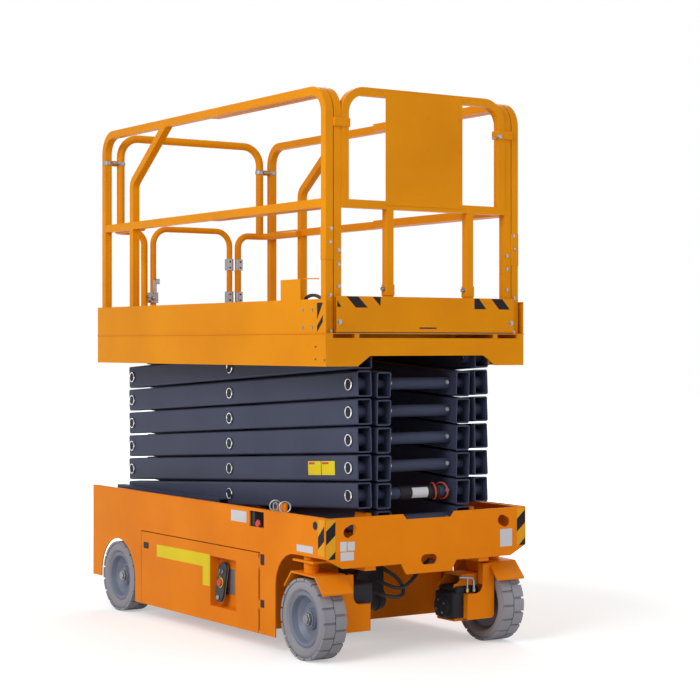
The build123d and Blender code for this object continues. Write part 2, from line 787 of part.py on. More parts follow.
# ---------------------------------------------------------------- platform
def platform_frame():
    x_low = behind(platform_rear_behind)
    x_high = behind(platform_front_behind)
    outer = -platform_half_width
    sill = [block(x_low, x_high, outer, outer + sheet, skirt_low, skirt_high),
            block(x_low, x_high, outer, outer + skirt_flange, skirt_low, skirt_low + sheet),
            block(x_low, x_high, outer, outer + skirt_flange, skirt_high - sheet, skirt_high)]
    pieces = []
    for piece in sill:
        pieces.extend(both_sides(piece))
    half = [(0, skirt_low + apron_rise), (apron_high_y, skirt_low + apron_rise), (apron_low_y, skirt_low),
            (platform_half_width, skirt_low), (platform_half_width, skirt_high + skirt_lap),
            (0, skirt_high + skirt_lap)]
    other = [(-y, z) for y, z in reversed(half[1:-1])]
    pieces.append(plate_yz(half + other, x_high - sheet, x_high))
    pieces.append(block(x_low, x_low + sheet, outer, -outer, skirt_low + rear_apron_rise,
                        skirt_high + skirt_lap))
    beam_underside = deck_low - deck_beam_height
    for step in range(deck_beams):
        x = behind(deck_beam_first + step * deck_beam_pitch)
        pieces.append(block(x - deck_beam_half, x + deck_beam_half, outer + 1, -outer - 1,
                            beam_underside, deck_low))
    track_front = behind(track_front_behind)
    lug_y = -track_inner_y - platform_lug
    x_top = platform_lug_top_half
    x_bottom = platform_lug_low_half
    outline = [(x_front_pin - x_top, deck_low), (x_front_pin - x_bottom, skirt_low),
               (x_front_pin + x_bottom, skirt_low), (x_front_pin + x_top, deck_low)]
    side = [block(x_low, x_high, outer, outer + rim_bar, skirt_high - 1, deck_low),
            track(top_level, x_low + sheet, track_front),
            block(x_low + sheet, track_front, -track_web_y - track_web, -track_web_y,
                  top_level + roller_diameter / 2, deck_low),
            plate_xz(outline, lug_y, -track_inner_y),
            block(x_front_pin - spine_reach, x_high - 1, lug_y, -track_inner_y, beam_underside, deck_low),
            bar_y(x_front_pin, top_level, -track_inner_y - 1, -outer_arm_y, pin_diameter)]
    for piece in side:
        pieces.extend(both_sides(piece))
    return fuse(pieces)


def platform_floor():
    return block(behind(platform_rear_behind), behind(platform_front_behind), -platform_half_width,
                 platform_half_width, deck_low, floor_top)


def toe_boards():
    x_low = behind(platform_rear_behind)
    x_high = behind(platform_front_behind)
    outer = -platform_half_width
    side = block(x_low, x_high, outer, outer + toe_board_sheet, floor_top, toe_board_top)
    lip = block(x_low, x_high, outer, outer + toe_board_lip, toe_board_top - toe_board_sheet, toe_board_top)
    rear = block(x_low, x_low + toe_board_sheet, outer + 1, -gate_post_y - round_tube / 2 - 1,
                 floor_top, toe_board_top)
    return both_sides(side.fuse(lip, rear))


def side_rail():
    """Right-hand main guard rail with its bent post and mid rail."""
    y = -main_rail_y
    x_post = behind(front_post_behind)
    x_rear = behind(rear_post_behind)
    hoop = square_tube([(x_post, y, floor_top), (x_post, y, rail_centre_top), (x_rear, y, rail_centre_top),
                        (x_rear, y, floor_top)], rail_bend)
    x_bent = behind(bent_post_behind)
    bent = square_tube([(x_bent, y, floor_top), (x_bent, y, bent_post_kink),
                        (behind(bent_post_top_behind), y, rail_centre_top)], bent_post_bend)
    mid = square_tube([(x_post, y, mid_rail_height), (x_rear, y, mid_rail_height)], 0)
    return fuse([hoop, bent, mid])


def rear_rails():
    """Gate posts, the mid tubes that run round the rear corners, and the upper rear hoop."""
    x = behind(rear_post_behind)
    z_wrap = wrap_top - round_tube / 2
    z_hoop = overall_height - rear_hoop_tube / 2
    y_wrap = -main_rail_y + rail_tube / 2 + round_tube / 2 + seat_gap
    corner = round_pipe([(x, -gate_post_y, floor_top), (x, -gate_post_y, z_wrap), (x, y_wrap, z_wrap),
                         (behind(bent_post_behind) + rail_tube / 2, y_wrap, z_wrap)], corner_bend)
    pieces = both_sides(corner)
    pieces.append(round_pipe([(x, -rear_hoop_y, z_wrap), (x, -rear_hoop_y, z_hoop), (x, rear_hoop_y, z_hoop),
                              (x, rear_hoop_y, z_wrap)], rear_hoop_bend, rear_hoop_tube))
    pieces.extend(strap_pair(x, rear_hoop_y, main_rail_y - rail_tube / 2))
    for low, high in gate_hinges:
        for z0, z1 in ((low - 1 - gate_ear, low - 1), (high + 1, high + 1 + gate_ear)):
            pieces.append(bar_z(x, gate_hinge_y, z0, z1, gate_hinge_barrel))
            pieces.append(block(x - strap_half, x + strap_half, gate_hinge_y, gate_post_y - 5, z0, z1))
        pieces.append(bar_z(x, gate_hinge_y, low - 5, high + 5, gate_hinge_pin))
    return fuse(pieces)


def strap_pair(x, y_in, y_out):
    """Flat straps that tie a hoop to the top rails on both sides."""
    z = overall_height - strap_drop
    return both_sides(block(x - strap_half, x + strap_half, -y_out, -y_in, z, z + strap_height))


def gate():
    """Hoop-shaped entry gate, hinged on the left-hand gate post."""
    x = behind(rear_post_behind)
    z_low = floor_top + gate_lift
    z_top = gate_top - gate_tube / 2
    hoop = round_pipe([(x, -gate_leg_y, z_low), (x, -gate_leg_y, z_top), (x, gate_leg_y, z_top),
                       (x, gate_leg_y, z_low)], gate_bend, gate_tube)
    half = gate_board / 2
    pieces = [block(x - half, x + half, -gate_leg_y, gate_leg_y, z_low + 2, toe_board_top)]
    holes = []
    bore = gate_hinge_pin + 2 * running_clearance
    for low, high in gate_hinges:
        pieces.append(bar_z(x, gate_hinge_y, low, high, gate_hinge_barrel))
        pieces.append(block(x - strap_half, x + strap_half, gate_leg_y, gate_hinge_y, low, high))
        holes.append(bar_z(x, gate_hinge_y, low - 1, high + 1, bore))
    reach, latch_low, latch_high = gate_latch
    pieces.append(block(x - gate_ear, x + gate_ear, -gate_leg_y - gate_tube / 2 - reach, -gate_leg_y,
                        latch_low, latch_high))
    return hoop.fuse(*pieces).cut(*holes)


# ---------------------------------------------------------------- extension deck
def extension_deck():
    x_high = behind(platform_front_behind)
    x_low = x_high - extension_length
    z = extension_floor_low
    y = extension_half_width
    floor = block(x_low, x_high, -y, y, z, extension_floor_top)
    board = block(x_high - toe_board_sheet, x_high, -y, y, z - 3, extension_board_top)
    lip = block(x_high - toe_board_lip, x_high, -y, y, extension_board_top - toe_board_sheet,
                extension_board_top)
    y_in = extension_rail_y - rail_tube / 2
    side = block(x_low, behind(front_frame_behind + 30), -y_in, -y_in + toe_board_sheet, z + 1, toe_board_top)
    runner = block(x_low, x_high - runner_width, -y + runner_inset, -y + runner_inset + runner_width,
                   floor_top + seat_gap, z + 1)
    return fuse([floor, board, lip] + both_sides(side) + both_sides(runner))


def extension_rails():
    """Side rails of the extension: a front post, a top rail and a mid rail with sliding pads."""
    x_post = behind(front_post_behind)
    x_rear = x_post - extension_rail_length
    pieces = []
    y = -extension_rail_y
    top = square_tube([(x_post, y, extension_floor_top), (x_post, y, rail_centre_top),
                       (x_rear, y, rail_centre_top)], rail_bend)
    mid = square_tube([(x_post, y, mid_rail_height), (x_rear, y, mid_rail_height)], 0)
    y_pad = -main_rail_y + rail_tube / 2 + seat_gap
    start, end, half = slide_pad
    pads = [block(x_rear + start, x_rear + end, y_pad, y, z - half, z + half)
            for z in (mid_rail_height, rail_centre_top)]
    return both_sides(fuse([top, mid] + pads))


def extension_front_frame():
    """Front frame on two legs, with the panel that carries the control box."""
    x = behind(front_frame_behind)
    y = front_frame_y
    half = front_frame_tube / 2
    pieces = [square_tube([(x, -y, mid_rail_height), (x, -y, rail_centre_top), (x, y, rail_centre_top),
                           (x, y, mid_rail_height)], rail_bend, front_frame_tube),
              square_tube([(x, -y - half, mid_rail_height), (x, y + half, mid_rail_height)], 0,
                          front_frame_tube)]
    for leg in (frame_leg_right, frame_leg_left):
        pieces.append(square_tube([(x, leg, extension_floor_top), (x, leg, mid_rail_height)], 0,
                                  front_frame_tube))
    pieces.append(block(x + half, x + half + panel_sheet, panel_right, panel_left,
                        mid_rail_height, overall_height - panel_drop))
    pieces.extend(strap_pair(x, y, extension_rail_y - rail_tube / 2))
    return fuse(pieces)


def control_box():
    x = behind(front_frame_behind) + front_frame_tube / 2
    top = overall_height - box_drop
    return block(x - box_depth, x, box_right, box_left, top - box_height, top)


# ---------------------------------------------------------------- swing-out trays
def tray_door():
    """Right-hand door panel with its return edges and the tray floor behind it."""
    outer = -half_width
    x_low = behind(door_rear_behind)
    x_high = behind(door_front_behind)
    y_in = -(beam_outer_y + tray_margin / 2)
    panel = block(x_low, x_high - door_edge_gap, outer, outer + sheet, chassis_bottom, door_top)
    floor = block(x_low + tray_margin, behind(bulkhead_behind) - tray_margin, outer + sheet - 1, y_in,
                  chassis_bottom, chassis_bottom + sheet)
    x_return = x_low + tray_return
    rear = block(x_return, x_return + sheet, outer + sheet - 1, y_in, chassis_bottom,
                 door_top - tray_margin / 2)
    leaves, holes = door_hinge_leaves()
    return panel.fuse(floor, rear, *leaves).cut(*holes)


def right_door():
    x_low = behind(recess_rear)
    x_high = behind(recess_front)
    outer = -half_width
    door = tray_door()
    window = block(x_low, x_high, outer - 1, outer + sheet + 1, recess_low, recess_high)
    tub = block(x_low - sheet, x_high + sheet, outer + 1, outer + recess_depth + sheet,
                recess_low - sheet, recess_high + sheet)
    hollow = block(x_low, x_high, outer - 1, outer + recess_depth, recess_low, recess_high)
    return door.cut(window).fuse(tub.cut(hollow))


def battery_pack(y_outer):
    """Heavy block of cells standing on the right-hand tray."""
    x_low = behind(door_rear_behind) + tray_margin + 10
    x_high = behind(bulkhead_behind) - tray_margin - 10
    return block(x_low, x_high, y_outer, -(beam_outer_y + tray_margin / 2 + 4),
                 chassis_bottom + sheet, door_top - battery_drop)


def ground_controls():
    """Plate with its stop button, standing on the floor of the door's recess."""
    y = -half_width + recess_depth
    x = (behind(recess_front) + behind(recess_rear)) / 2
    z = (recess_low + recess_high) / 2
    face = SlotOverall(recess_plate_length, recess_plate_width)
    plate = Rot(90, 0, 0) * Rot(0, 0, 90) * extrude(face, recess_plate_half, both=True)
    plate = Pos(x, y - recess_plate_half, z) * plate
    reach, lap = button_reach
    return plate.fuse(bar_y(x, z + button_rise, y - reach, y - lap, button_diameter))


# ---------------------------------------------------------------- nodes
def main():
    front_x = behind(front_wheel_behind)
    rear_x = behind(rear_wheel_behind)
    rim_bore = stub_axle_diameter + 2 * running_clearance
    export("chassis_shell", chassis_shell())
    export("chassis_beams", chassis_beams())
    export("tie_down_eyes", tie_down_eyes())
    export("rear_ladder", rear_ladder())
    export("rear_axle", both_sides(rear_axle()))
    for name, x, side in (("front_right", front_x, -1), ("front_left", front_x, 1),
                          ("rear_right", rear_x, -1), ("rear_left", rear_x, 1)):
        export("tyre_" + name, tyre(x, side))
        export("rim_" + name, rim(x, side, rim_bore))
    export("knuckle_right", knuckle())
    export("knuckle_left", mirrored(knuckle()))
    for k in range(1, stages + 1):
        export("outer_arms_%d" % k, outer_arm(k))
        export("inner_arms_%d" % k, inner_arm(k))
    export("lift_barrel", lift_barrel())
    export("lift_rod", lift_rod())
    export("platform_frame", platform_frame())
    export("platform_floor", platform_floor())
    export("toe_boards", toe_boards())
    export("side_rail_right", side_rail())
    export("side_rail_left", mirrored(side_rail()))
    export("rear_rails", rear_rails())
    export("gate", gate())
    export("extension_deck", extension_deck())
    export("extension_rails", extension_rails())
    export("extension_front_frame", extension_front_frame())
    export("control_box", control_box())
    export("tray_door_right", right_door())
    export("tray_door_left", mirrored(tray_door()))
    export("battery_pack_right", battery_pack(-half_width + recess_depth + sheet + 6))
    export("battery_pack_left", mirrored(battery_pack(-half_width + sheet + 6)))
    export("ground_controls", ground_controls())


main()
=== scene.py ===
import json
import math
import bpy
import bmesh
from mathutils import Matrix, Vector


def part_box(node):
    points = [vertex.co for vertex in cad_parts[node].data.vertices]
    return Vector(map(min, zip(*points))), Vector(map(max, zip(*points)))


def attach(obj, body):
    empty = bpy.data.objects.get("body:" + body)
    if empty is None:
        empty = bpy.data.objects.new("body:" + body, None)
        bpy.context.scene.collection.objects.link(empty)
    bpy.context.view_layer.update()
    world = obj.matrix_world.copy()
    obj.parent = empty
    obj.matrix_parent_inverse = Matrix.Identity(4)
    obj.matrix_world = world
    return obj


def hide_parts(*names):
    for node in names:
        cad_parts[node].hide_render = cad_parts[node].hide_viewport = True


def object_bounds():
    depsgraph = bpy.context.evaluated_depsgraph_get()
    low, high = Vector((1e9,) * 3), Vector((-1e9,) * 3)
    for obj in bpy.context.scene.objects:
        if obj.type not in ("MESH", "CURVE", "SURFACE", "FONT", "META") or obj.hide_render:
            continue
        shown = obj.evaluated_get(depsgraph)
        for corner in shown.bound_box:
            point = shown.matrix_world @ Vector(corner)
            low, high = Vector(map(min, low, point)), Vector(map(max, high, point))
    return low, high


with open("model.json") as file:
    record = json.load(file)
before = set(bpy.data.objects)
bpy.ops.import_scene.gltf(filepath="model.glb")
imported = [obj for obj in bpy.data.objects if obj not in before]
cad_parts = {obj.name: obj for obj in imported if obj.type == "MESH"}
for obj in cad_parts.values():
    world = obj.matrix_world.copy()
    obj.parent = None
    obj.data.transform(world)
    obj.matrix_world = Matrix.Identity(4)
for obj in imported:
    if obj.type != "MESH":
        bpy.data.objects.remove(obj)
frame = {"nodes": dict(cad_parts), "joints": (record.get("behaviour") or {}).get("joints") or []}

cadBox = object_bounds()
nodes = frame["nodes"]
jointPlaces = {j["name"]: Vector(j["pos_m"]) for j in frame["joints"] if j.get("pos_m")}
sideNames = {-1: "right", 1: "left"}
wheelEnds = ("front_right", "front_left", "rear_right", "rear_left")
nearAxis = 1e-6
sameSpot = 1e-5
print("frame loaded")


# Small helpers that the pieces share

def inScene(item):
    bpy.context.scene.collection.objects.link(item)
    return item


def addBox(bm, low, high):
    centre = (Vector(low) + Vector(high)) / 2
    size = Vector(high) - Vector(low)
    bmesh.ops.create_cube(bm, size=1.0, matrix=Matrix.Translation(centre) @ Matrix.Diagonal((*size, 1.0)))


def addSideBox(bm, side, low, high):
    # A box written for the left side, set on the side asked for
    near, far = sorted((side * low[1], side * high[1]))
    addBox(bm, (low[0], near, low[2]), (high[0], far, high[2]))


def aimed(place, direction):
    turn = Vector((0, 0, 1)).rotation_difference(Vector(direction)).to_matrix().to_4x4()
    return Matrix.Translation(Vector(place)) @ turn


def roundPoint(radius, angle, *rest):
    return (radius * math.cos(angle), radius * math.sin(angle), *rest)


def addTurned(bm, profile, place, direction, sides=24, slot=0):
    # A profile of (radius, height) pairs turned about the direction. One that stays off the axis closes on itself.
    profile = list(profile)
    hollow = profile[0][0] > 0 and profile[-1][0] > 0
    if hollow and profile[0] == profile[-1]:
        profile.pop()
    elif not hollow and profile[0][0] > 0:
        profile.insert(0, (0, profile[0][1]))
    elif not hollow and profile[-1][0] > 0:
        profile.append((0, profile[-1][1]))
    matrix = aimed(place, direction)
    rings = []
    for radius, height in profile:
        count = sides if radius > nearAxis else 1
        rings.append([bm.verts.new(matrix @ Vector(roundPoint(radius, 2 * math.pi * i / sides, height)))
                      for i in range(count)])
    if hollow and len(rings) > 2:
        rings.append(rings[0])
    for lower, upper in zip(rings, rings[1:]):
        for i in range(sides):
            j = (i + 1) % sides
            corners = [lower[i % len(lower)], lower[j % len(lower)], upper[j % len(upper)], upper[i % len(upper)]]
            corners = list(dict.fromkeys(corners))
            if len(corners) > 2:
                bm.faces.new(corners).material_index = slot


def addPeg(bm, radius, low, high, place, direction, sides=24, slot=0):
    addTurned(bm, [(0, low), (radius, low), (radius, high), (0, high)], place, direction, sides, slot)


def addBand(bm, inner, outer, low, high, slope, place, direction, sides, slot=0):
    # A ring of four corners whose ends slope inward toward its outside
    profile = [(inner, low), (outer, low + slope), (outer, high - slope), (inner, high)]
    addTurned(bm, profile, place, direction, sides, slot)


def addPrism(bm, outline, place, across, up, thickness, slot=0):
    # A flat plate: outline points (a, b) laid along across and up, thickened both ways alike
    across = Vector(across).normalized()
    up = Vector(up).normalized()
    normal = across.cross(up)
    bottom, top = ([bm.verts.new(Vector(place) + across * a + up * b + normal * step) for a, b in outline]
                   for step in (-thickness / 2, thickness / 2))
    walls = [[bottom[i - 1], bottom[i], top[i], top[i - 1]] for i in range(len(outline))]
    for corners in (bottom[::-1], top, *walls):
        bm.faces.new(corners).material_index = slot


def addPipe(bm, points, radius, sides=12):
    # A round pipe through the points, rounded where it turns, with closed ends
    curve = bpy.data.curves.new("pipePath", "CURVE")
    curve.dimensions = "3D"
    spline = curve.splines.new("NURBS")
    spline.points.add(len(points) - 1)
    for point, place in zip(spline.points, points):
        point.co = (*place, 1.0)
    spline.order_u = 3
    spline.use_endpoint_u = True
    spline.resolution_u = 6
    curve.bevel_depth = radius
    curve.bevel_resolution = max(1, sides // 4 - 1)
    curve.use_fill_caps = True
    holder = inScene(bpy.data.objects.new("pipePath", curve))
    mesh = bpy.data.meshes.new_from_object(holder.evaluated_get(bpy.context.evaluated_depsgraph_get()))
    start = len(bm.verts)
    bm.from_mesh(mesh)
    bm.verts.ensure_lookup_table()
    bmesh.ops.remove_doubles(bm, verts=bm.verts[start:], dist=sameSpot)
    bpy.data.objects.remove(holder)
    bpy.data.curves.remove(curve)
    bpy.data.meshes.remove(mesh)


def meshOf(name, bm):
    bmesh.ops.recalc_face_normals(bm, faces=bm.faces)
    mesh = bpy.data.meshes.new(name)
    bm.to_mesh(mesh)
    bm.free()
    return mesh


# The material slot that a finish stands for, unless a piece says otherwise
usualSlots = {
    "platformAmber": "platform_amber", "chassisOrange": "chassis_orange", "blackSteel": "steel_black",
    "zincSteel": "bright_steel", "blackPlastic": "control_black", "signalRed": "control_black",
    "labelYellow": "control_black", "hoseRubber": "control_black", "hardChrome": "hard_chrome",
}


def keepPiece(name, bm, finishNames, body, bevel=0.0, smooth=35, slot=None):
    slot = slot or usualSlots[finishNames[0]]
    mesh = meshOf(name, bm)
    piece = inScene(bpy.data.objects.new(name, mesh))
    for finish in finishNames:
        mesh.materials.append(paints[finish])
    if bevel:
        rounding = piece.modifiers.new("rounded edges", "BEVEL")
        rounding.width = bevel
        rounding.segments = 2
        rounding.limit_method = "ANGLE"
        rounding.angle_limit = math.radians(40)
    if smooth:
        mesh.shade_smooth()
        mesh.set_sharp_from_angle(angle=math.radians(smooth))
    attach(piece, body)
    return piece


def boxPiece(name, finish, low, high, body, bevel=0.0, sides=(1,)):
    # A box of its own, written for the left side and set on each of the sides asked for
    bm = bmesh.new()
    for side in sides:
        addSideBox(bm, side, low, high)
    keepPiece(name, bm, [finish], body, bevel)


# Node tree helpers

def feed(tree, node, values):
    # Each input takes a link from a socket, or a plain value
    for socket, value in values.items():
        if isinstance(value, bpy.types.NodeSocket):
            tree.links.new(value, node.inputs[socket])
        else:
            node.inputs[socket].default_value = value


def addNode(tree, kind, values=None, **settings):
    node = tree.nodes.new(kind)
    for label, value in settings.items():
        setattr(node, label, value)
    feed(tree, node, values or {})
    return node


def mathOf(tree, operation, first, second=None, clamp=False):
    values = {0: first} if second is None else {0: first, 1: second}
    return addNode(tree, "ShaderNodeMath", values, operation=operation, use_clamp=clamp).outputs[0]


def rangeOf(tree, value, low, high, toLow=0.0, toHigh=1.0):
    values = {"Value": value, "From Min": low, "From Max": high, "To Min": toLow, "To Max": toHigh}
    return addNode(tree, "ShaderNodeMapRange", values).outputs[0]


def noiseOf(tree, scale, detail, roughness=0.5):
    place = addNode(tree, "ShaderNodeTexCoord").outputs["Object"]
    values = {"Vector": place, "Scale": scale, "Detail": detail, "Roughness": roughness}
    return addNode(tree, "ShaderNodeTexNoise", values).outputs["Fac"]


def mixColours(tree, factor, first, second):
    return addNode(tree, "ShaderNodeMix", {0: factor, 6: first, 7: second}, data_type="RGBA").outputs[2]


# Shader node groups

def newGroup(name, inputs, outputs):
    group = bpy.data.node_groups.new(name, "ShaderNodeTree")
    for label, value in inputs.items():
        group.interface.new_socket(name=label, in_out="INPUT", socket_type="NodeSocketFloat").default_value = value
    for label in outputs:
        group.interface.new_socket(name=label, in_out="OUTPUT", socket_type="NodeSocketFloat")
    return group, group.nodes.new("NodeGroupInput").outputs


def endMask(group, start, first, second):
    both = mathOf(group, "MULTIPLY", first, second)
    addNode(group, "NodeGroupOutput", {"Mask": mathOf(group, "MULTIPLY", both, start["Amount"], clamp=True)})
    return group


def makeEdgeWear():
    group, start = newGroup("edgeWear", {"Radius": 0.003, "Scale": 40.0, "Amount": 0.5}, ["Mask"])
    bevel = addNode(group, "ShaderNodeBevel", {"Radius": start["Radius"]}, samples=4).outputs[0]
    normal = addNode(group, "ShaderNodeNewGeometry").outputs["Normal"]
    dot = addNode(group, "ShaderNodeVectorMath", {0: bevel, 1: normal}, operation="DOT_PRODUCT")
    edge = rangeOf(group, dot.outputs["Value"], 0.97, 0.75)
    patch = rangeOf(group, noiseOf(group, start["Scale"], 6), 0.48, 0.62)
    return endMask(group, start, edge, patch)


def makeSettledDust():
    group, start = newGroup("settledDust", {"Amount": 0.3, "Scale": 6.0}, ["Mask"])
    normal = addNode(group, "ShaderNodeNewGeometry").outputs["Normal"]
    height = addNode(group, "ShaderNodeSeparateXYZ", {0: normal}).outputs["Z"]
    upward = rangeOf(group, height, 0.2, 1.0, 0.04, 1.0)
    cloud = rangeOf(group, noiseOf(group, start["Scale"], 9, 0.65), 0.42, 0.72)
    return endMask(group, start, upward, cloud)


def makeFineGrain():
    group, start = newGroup("fineGrain", {"Scale": 300.0, "Spread": 0.1, "Middle": 0.4}, ["Height", "Roughness"])
    centred = mathOf(group, "SUBTRACT", noiseOf(group, 5, 7), 0.5)
    spread = mathOf(group, "MULTIPLY", centred, start["Spread"])
    total = mathOf(group, "ADD", spread, start["Middle"], clamp=True)
    addNode(group, "NodeGroupOutput", {"Height": noiseOf(group, start["Scale"], 2), "Roughness": total})
    return group


edgeWear = makeEdgeWear()
settledDust = makeSettledDust()
fineGrain = makeFineGrain()

# One row per finish, under these fields

finishFields = ("colour", "shade", "bare", "dustColour", "roughness",
                "grain", "bump", "wear", "dust", "metallic", "shine")
finishRows = {
    "chassisOrange": ((0.86, 0.245, 0.004), (0.76, 0.2, 0.003), (0.42, 0.2, 0.07), (0.62, 0.36, 0.16),
        0.42, 420, 0.05, 0.35, 0.22, 0, 0.06),
    "platformAmber": ((0.8, 0.288, 0.002), (0.71, 0.242, 0.002), (0.45, 0.24, 0.06), (0.66, 0.42, 0.14),
        0.4, 420, 0.05, 0.3, 0.12, 0, 0.06),
    "stackSlate": ((0.045, 0.053, 0.095), (0.036, 0.042, 0.078), (0.19, 0.19, 0.22), (0.13, 0.135, 0.18),
        0.46, 350, 0.06, 0.45, 0.24, 0, 0.14),
    "tyreRubber": ((0.325, 0.32, 0.35), (0.255, 0.25, 0.278), (0.36, 0.35, 0.38), (0.38, 0.37, 0.4),
        0.86, 160, 0.35, 0.35, 0.55, 0, 0.2),
    "treadRubber": ((0.5, 0.495, 0.515), (0.4, 0.396, 0.415), (0.46, 0.45, 0.47), (0.46, 0.45, 0.47),
        0.9, 160, 0.35, 0.35, 0.5, 0, 0.15),
    "rimPaint": ((0.172, 0.196, 0.262), (0.14, 0.16, 0.218), (0.34, 0.35, 0.38), (0.3, 0.31, 0.35),
        0.46, 260, 0.08, 0.45, 0.3, 0, 0.5),
    "blackSteel": ((0.013, 0.013, 0.017), (0.02, 0.019, 0.023), (0.2, 0.18, 0.17), (0.1, 0.085, 0.08),
        0.6, 240, 0.08, 0.4, 0.12, 0, 0.2),
    "blackPlastic": ((0.014, 0.014, 0.016), (0.02, 0.02, 0.022), (0.1, 0.1, 0.1), (0.11, 0.11, 0.11),
        0.55, 520, 0.15, 0, 0.2, 0, 0.5),
    "hoseRubber": ((0.012, 0.012, 0.013), (0.022, 0.021, 0.022), (0.1, 0.1, 0.1), (0.1, 0.08, 0.07),
        0.62, 380, 0.12, 0, 0.35, 0, 0.5),
    "zincSteel": ((0.36, 0.36, 0.37), (0.24, 0.24, 0.25), (0.3, 0.28, 0.26), (0.35, 0.3, 0.25),
        0.4, 300, 0.06, 0.2, 0.15, 0.9, 0.5),
    "hardChrome": ((0.8, 0.8, 0.82), (0.74, 0.74, 0.76), (0.5, 0.5, 0.5), (0.4, 0.38, 0.36),
        0.12, 120, 0.01, 0, 0.05, 1, 0.5),
    "brassFitting": ((0.62, 0.42, 0.16), (0.5, 0.32, 0.1), (0.35, 0.22, 0.08), (0.3, 0.25, 0.2),
        0.32, 200, 0.05, 0.2, 0.15, 0.95, 0.5),
    "stripeBlack": ((0.01, 0.009, 0.013), (0.018, 0.016, 0.02), (0.3, 0.16, 0.05), (0.2, 0.16, 0.1),
        0.5, 300, 0.03, 0.25, 0.08, 0, 0.1),
    "stripeYellow": ((0.8, 0.375, 0.018), (0.7, 0.32, 0.012), (0.45, 0.2, 0.03), (0.5, 0.36, 0.2),
        0.42, 300, 0.03, 0.25, 0.15, 0, 0.1),
    "labelYellow": ((0.8, 0.64, 0.01), (0.72, 0.56, 0.008), (0.45, 0.3, 0.03), (0.5, 0.42, 0.2),
        0.4, 300, 0.02, 0.2, 0.12, 0, 0.1),
    "labelWhite": ((0.62, 0.62, 0.65), (0.52, 0.51, 0.54), (0.5, 0.4, 0.3), (0.5, 0.42, 0.34),
        0.42, 300, 0.02, 0.15, 0.18, 0, 0.5),
    "labelGrey": ((0.22, 0.21, 0.23), (0.16, 0.15, 0.17), (0.3, 0.2, 0.12), (0.3, 0.26, 0.2),
        0.45, 300, 0.02, 0.2, 0.2, 0, 0.5),
    "signalRed": ((0.55, 0.02, 0.016), (0.46, 0.014, 0.012), (0.3, 0.05, 0.04), (0.4, 0.2, 0.15),
        0.36, 300, 0.04, 0.1, 0.1, 0, 0.5),
    "loopOrange": ((0.5, 0.06, 0.018), (0.4, 0.04, 0.012), (0.3, 0.05, 0.04), (0.35, 0.15, 0.1),
        0.6, 700, 0.3, 0, 0.1, 0, 0.5),
    "batteryCase": ((0.03, 0.031, 0.034), (0.045, 0.044, 0.046), (0.12, 0.12, 0.12), (0.16, 0.14, 0.12),
        0.55, 260, 0.12, 0.2, 0.4, 0, 0.5),
}
finishes = {name: dict(zip(finishFields, row)) for name, row in finishRows.items()}


def paintMaterial(name, look):
    material = bpy.data.materials.new(name)
    material.use_nodes = True
    tree = material.node_tree
    tone = rangeOf(tree, noiseOf(tree, 2.2, 5), 0.35, 0.68)
    colour = mixColours(tree, tone, (*look["colour"], 1), (*look["shade"], 1))
    dust = addNode(tree, "ShaderNodeGroup", node_tree=settledDust)
    feed(tree, dust, {"Amount": look["dust"]})
    colour = mixColours(tree, dust.outputs["Mask"], colour, (*look["dustColour"], 1))
    if look["wear"]:
        wear = addNode(tree, "ShaderNodeGroup", node_tree=edgeWear)
        feed(tree, wear, {"Amount": look["wear"]})
        colour = mixColours(tree, wear.outputs["Mask"], colour, (*look["bare"], 1))
    grain = addNode(tree, "ShaderNodeGroup", node_tree=fineGrain)
    feed(tree, grain, {"Scale": look["grain"], "Middle": look["roughness"]})
    values = {"Strength": look["bump"], "Distance": 0.002, "Height": grain.outputs["Height"]}
    bump = addNode(tree, "ShaderNodeBump", values).outputs["Normal"]
    feed(tree, tree.nodes["Principled BSDF"], {
        "Base Color": colour, "Roughness": grain.outputs["Roughness"], "Normal": bump, "Metallic": look["metallic"],
        "Specular IOR Level": look["shine"]})
    return material


paints = {name: paintMaterial(name, look) for name, look in finishes.items()}
print("materials made")

# The CAD nodes take their finishes. Arms, rims and tyres go by their names.

nodeFinishes = {
    "chassisOrange": "chassis_shell chassis_beams knuckle_right knuckle_left tray_door_right tray_door_left",
    "platformAmber": "platform_frame platform_floor toe_boards side_rail_right side_rail_left rear_rails gate "
                     "extension_deck extension_rails extension_front_frame",
    "zincSteel": "tie_down_eyes", "blackSteel": "rear_ladder rear_axle", "stackSlate": "lift_barrel",
    "hardChrome": "lift_rod", "blackPlastic": "control_box ground_controls",
    "batteryCase": "battery_pack_right battery_pack_left",
}
finishOf = {name: finish for finish, names in nodeFinishes.items() for name in names.split()}
for name, node in nodes.items():
    family = "stackSlate" if "arms" in name else "rimPaint" if "rim" in name else "tyreRubber"
    paint = paints[finishOf.get(name, family)]
    if not node.material_slots:
        node.data.materials.append(paint)
    for place in node.material_slots:
        place.material = paint

# The upper flanks of the beams behind the middle are drawn dark, in the slate finish
slateSizes = dict(side=0.386, low=0.585, front=0.03)
beams = nodes["chassis_beams"]
beams.data.materials.append(paints["stackSlate"])
for polygon in beams.data.polygons:
    spot = beams.matrix_world @ polygon.center
    if abs(spot.y) > slateSizes["side"] and spot.z > slateSizes["low"] and spot.x < slateSizes["front"]:
        polygon.material_index = len(beams.data.materials) - 1
print("CAD nodes painted")


# Geometry Nodes trees

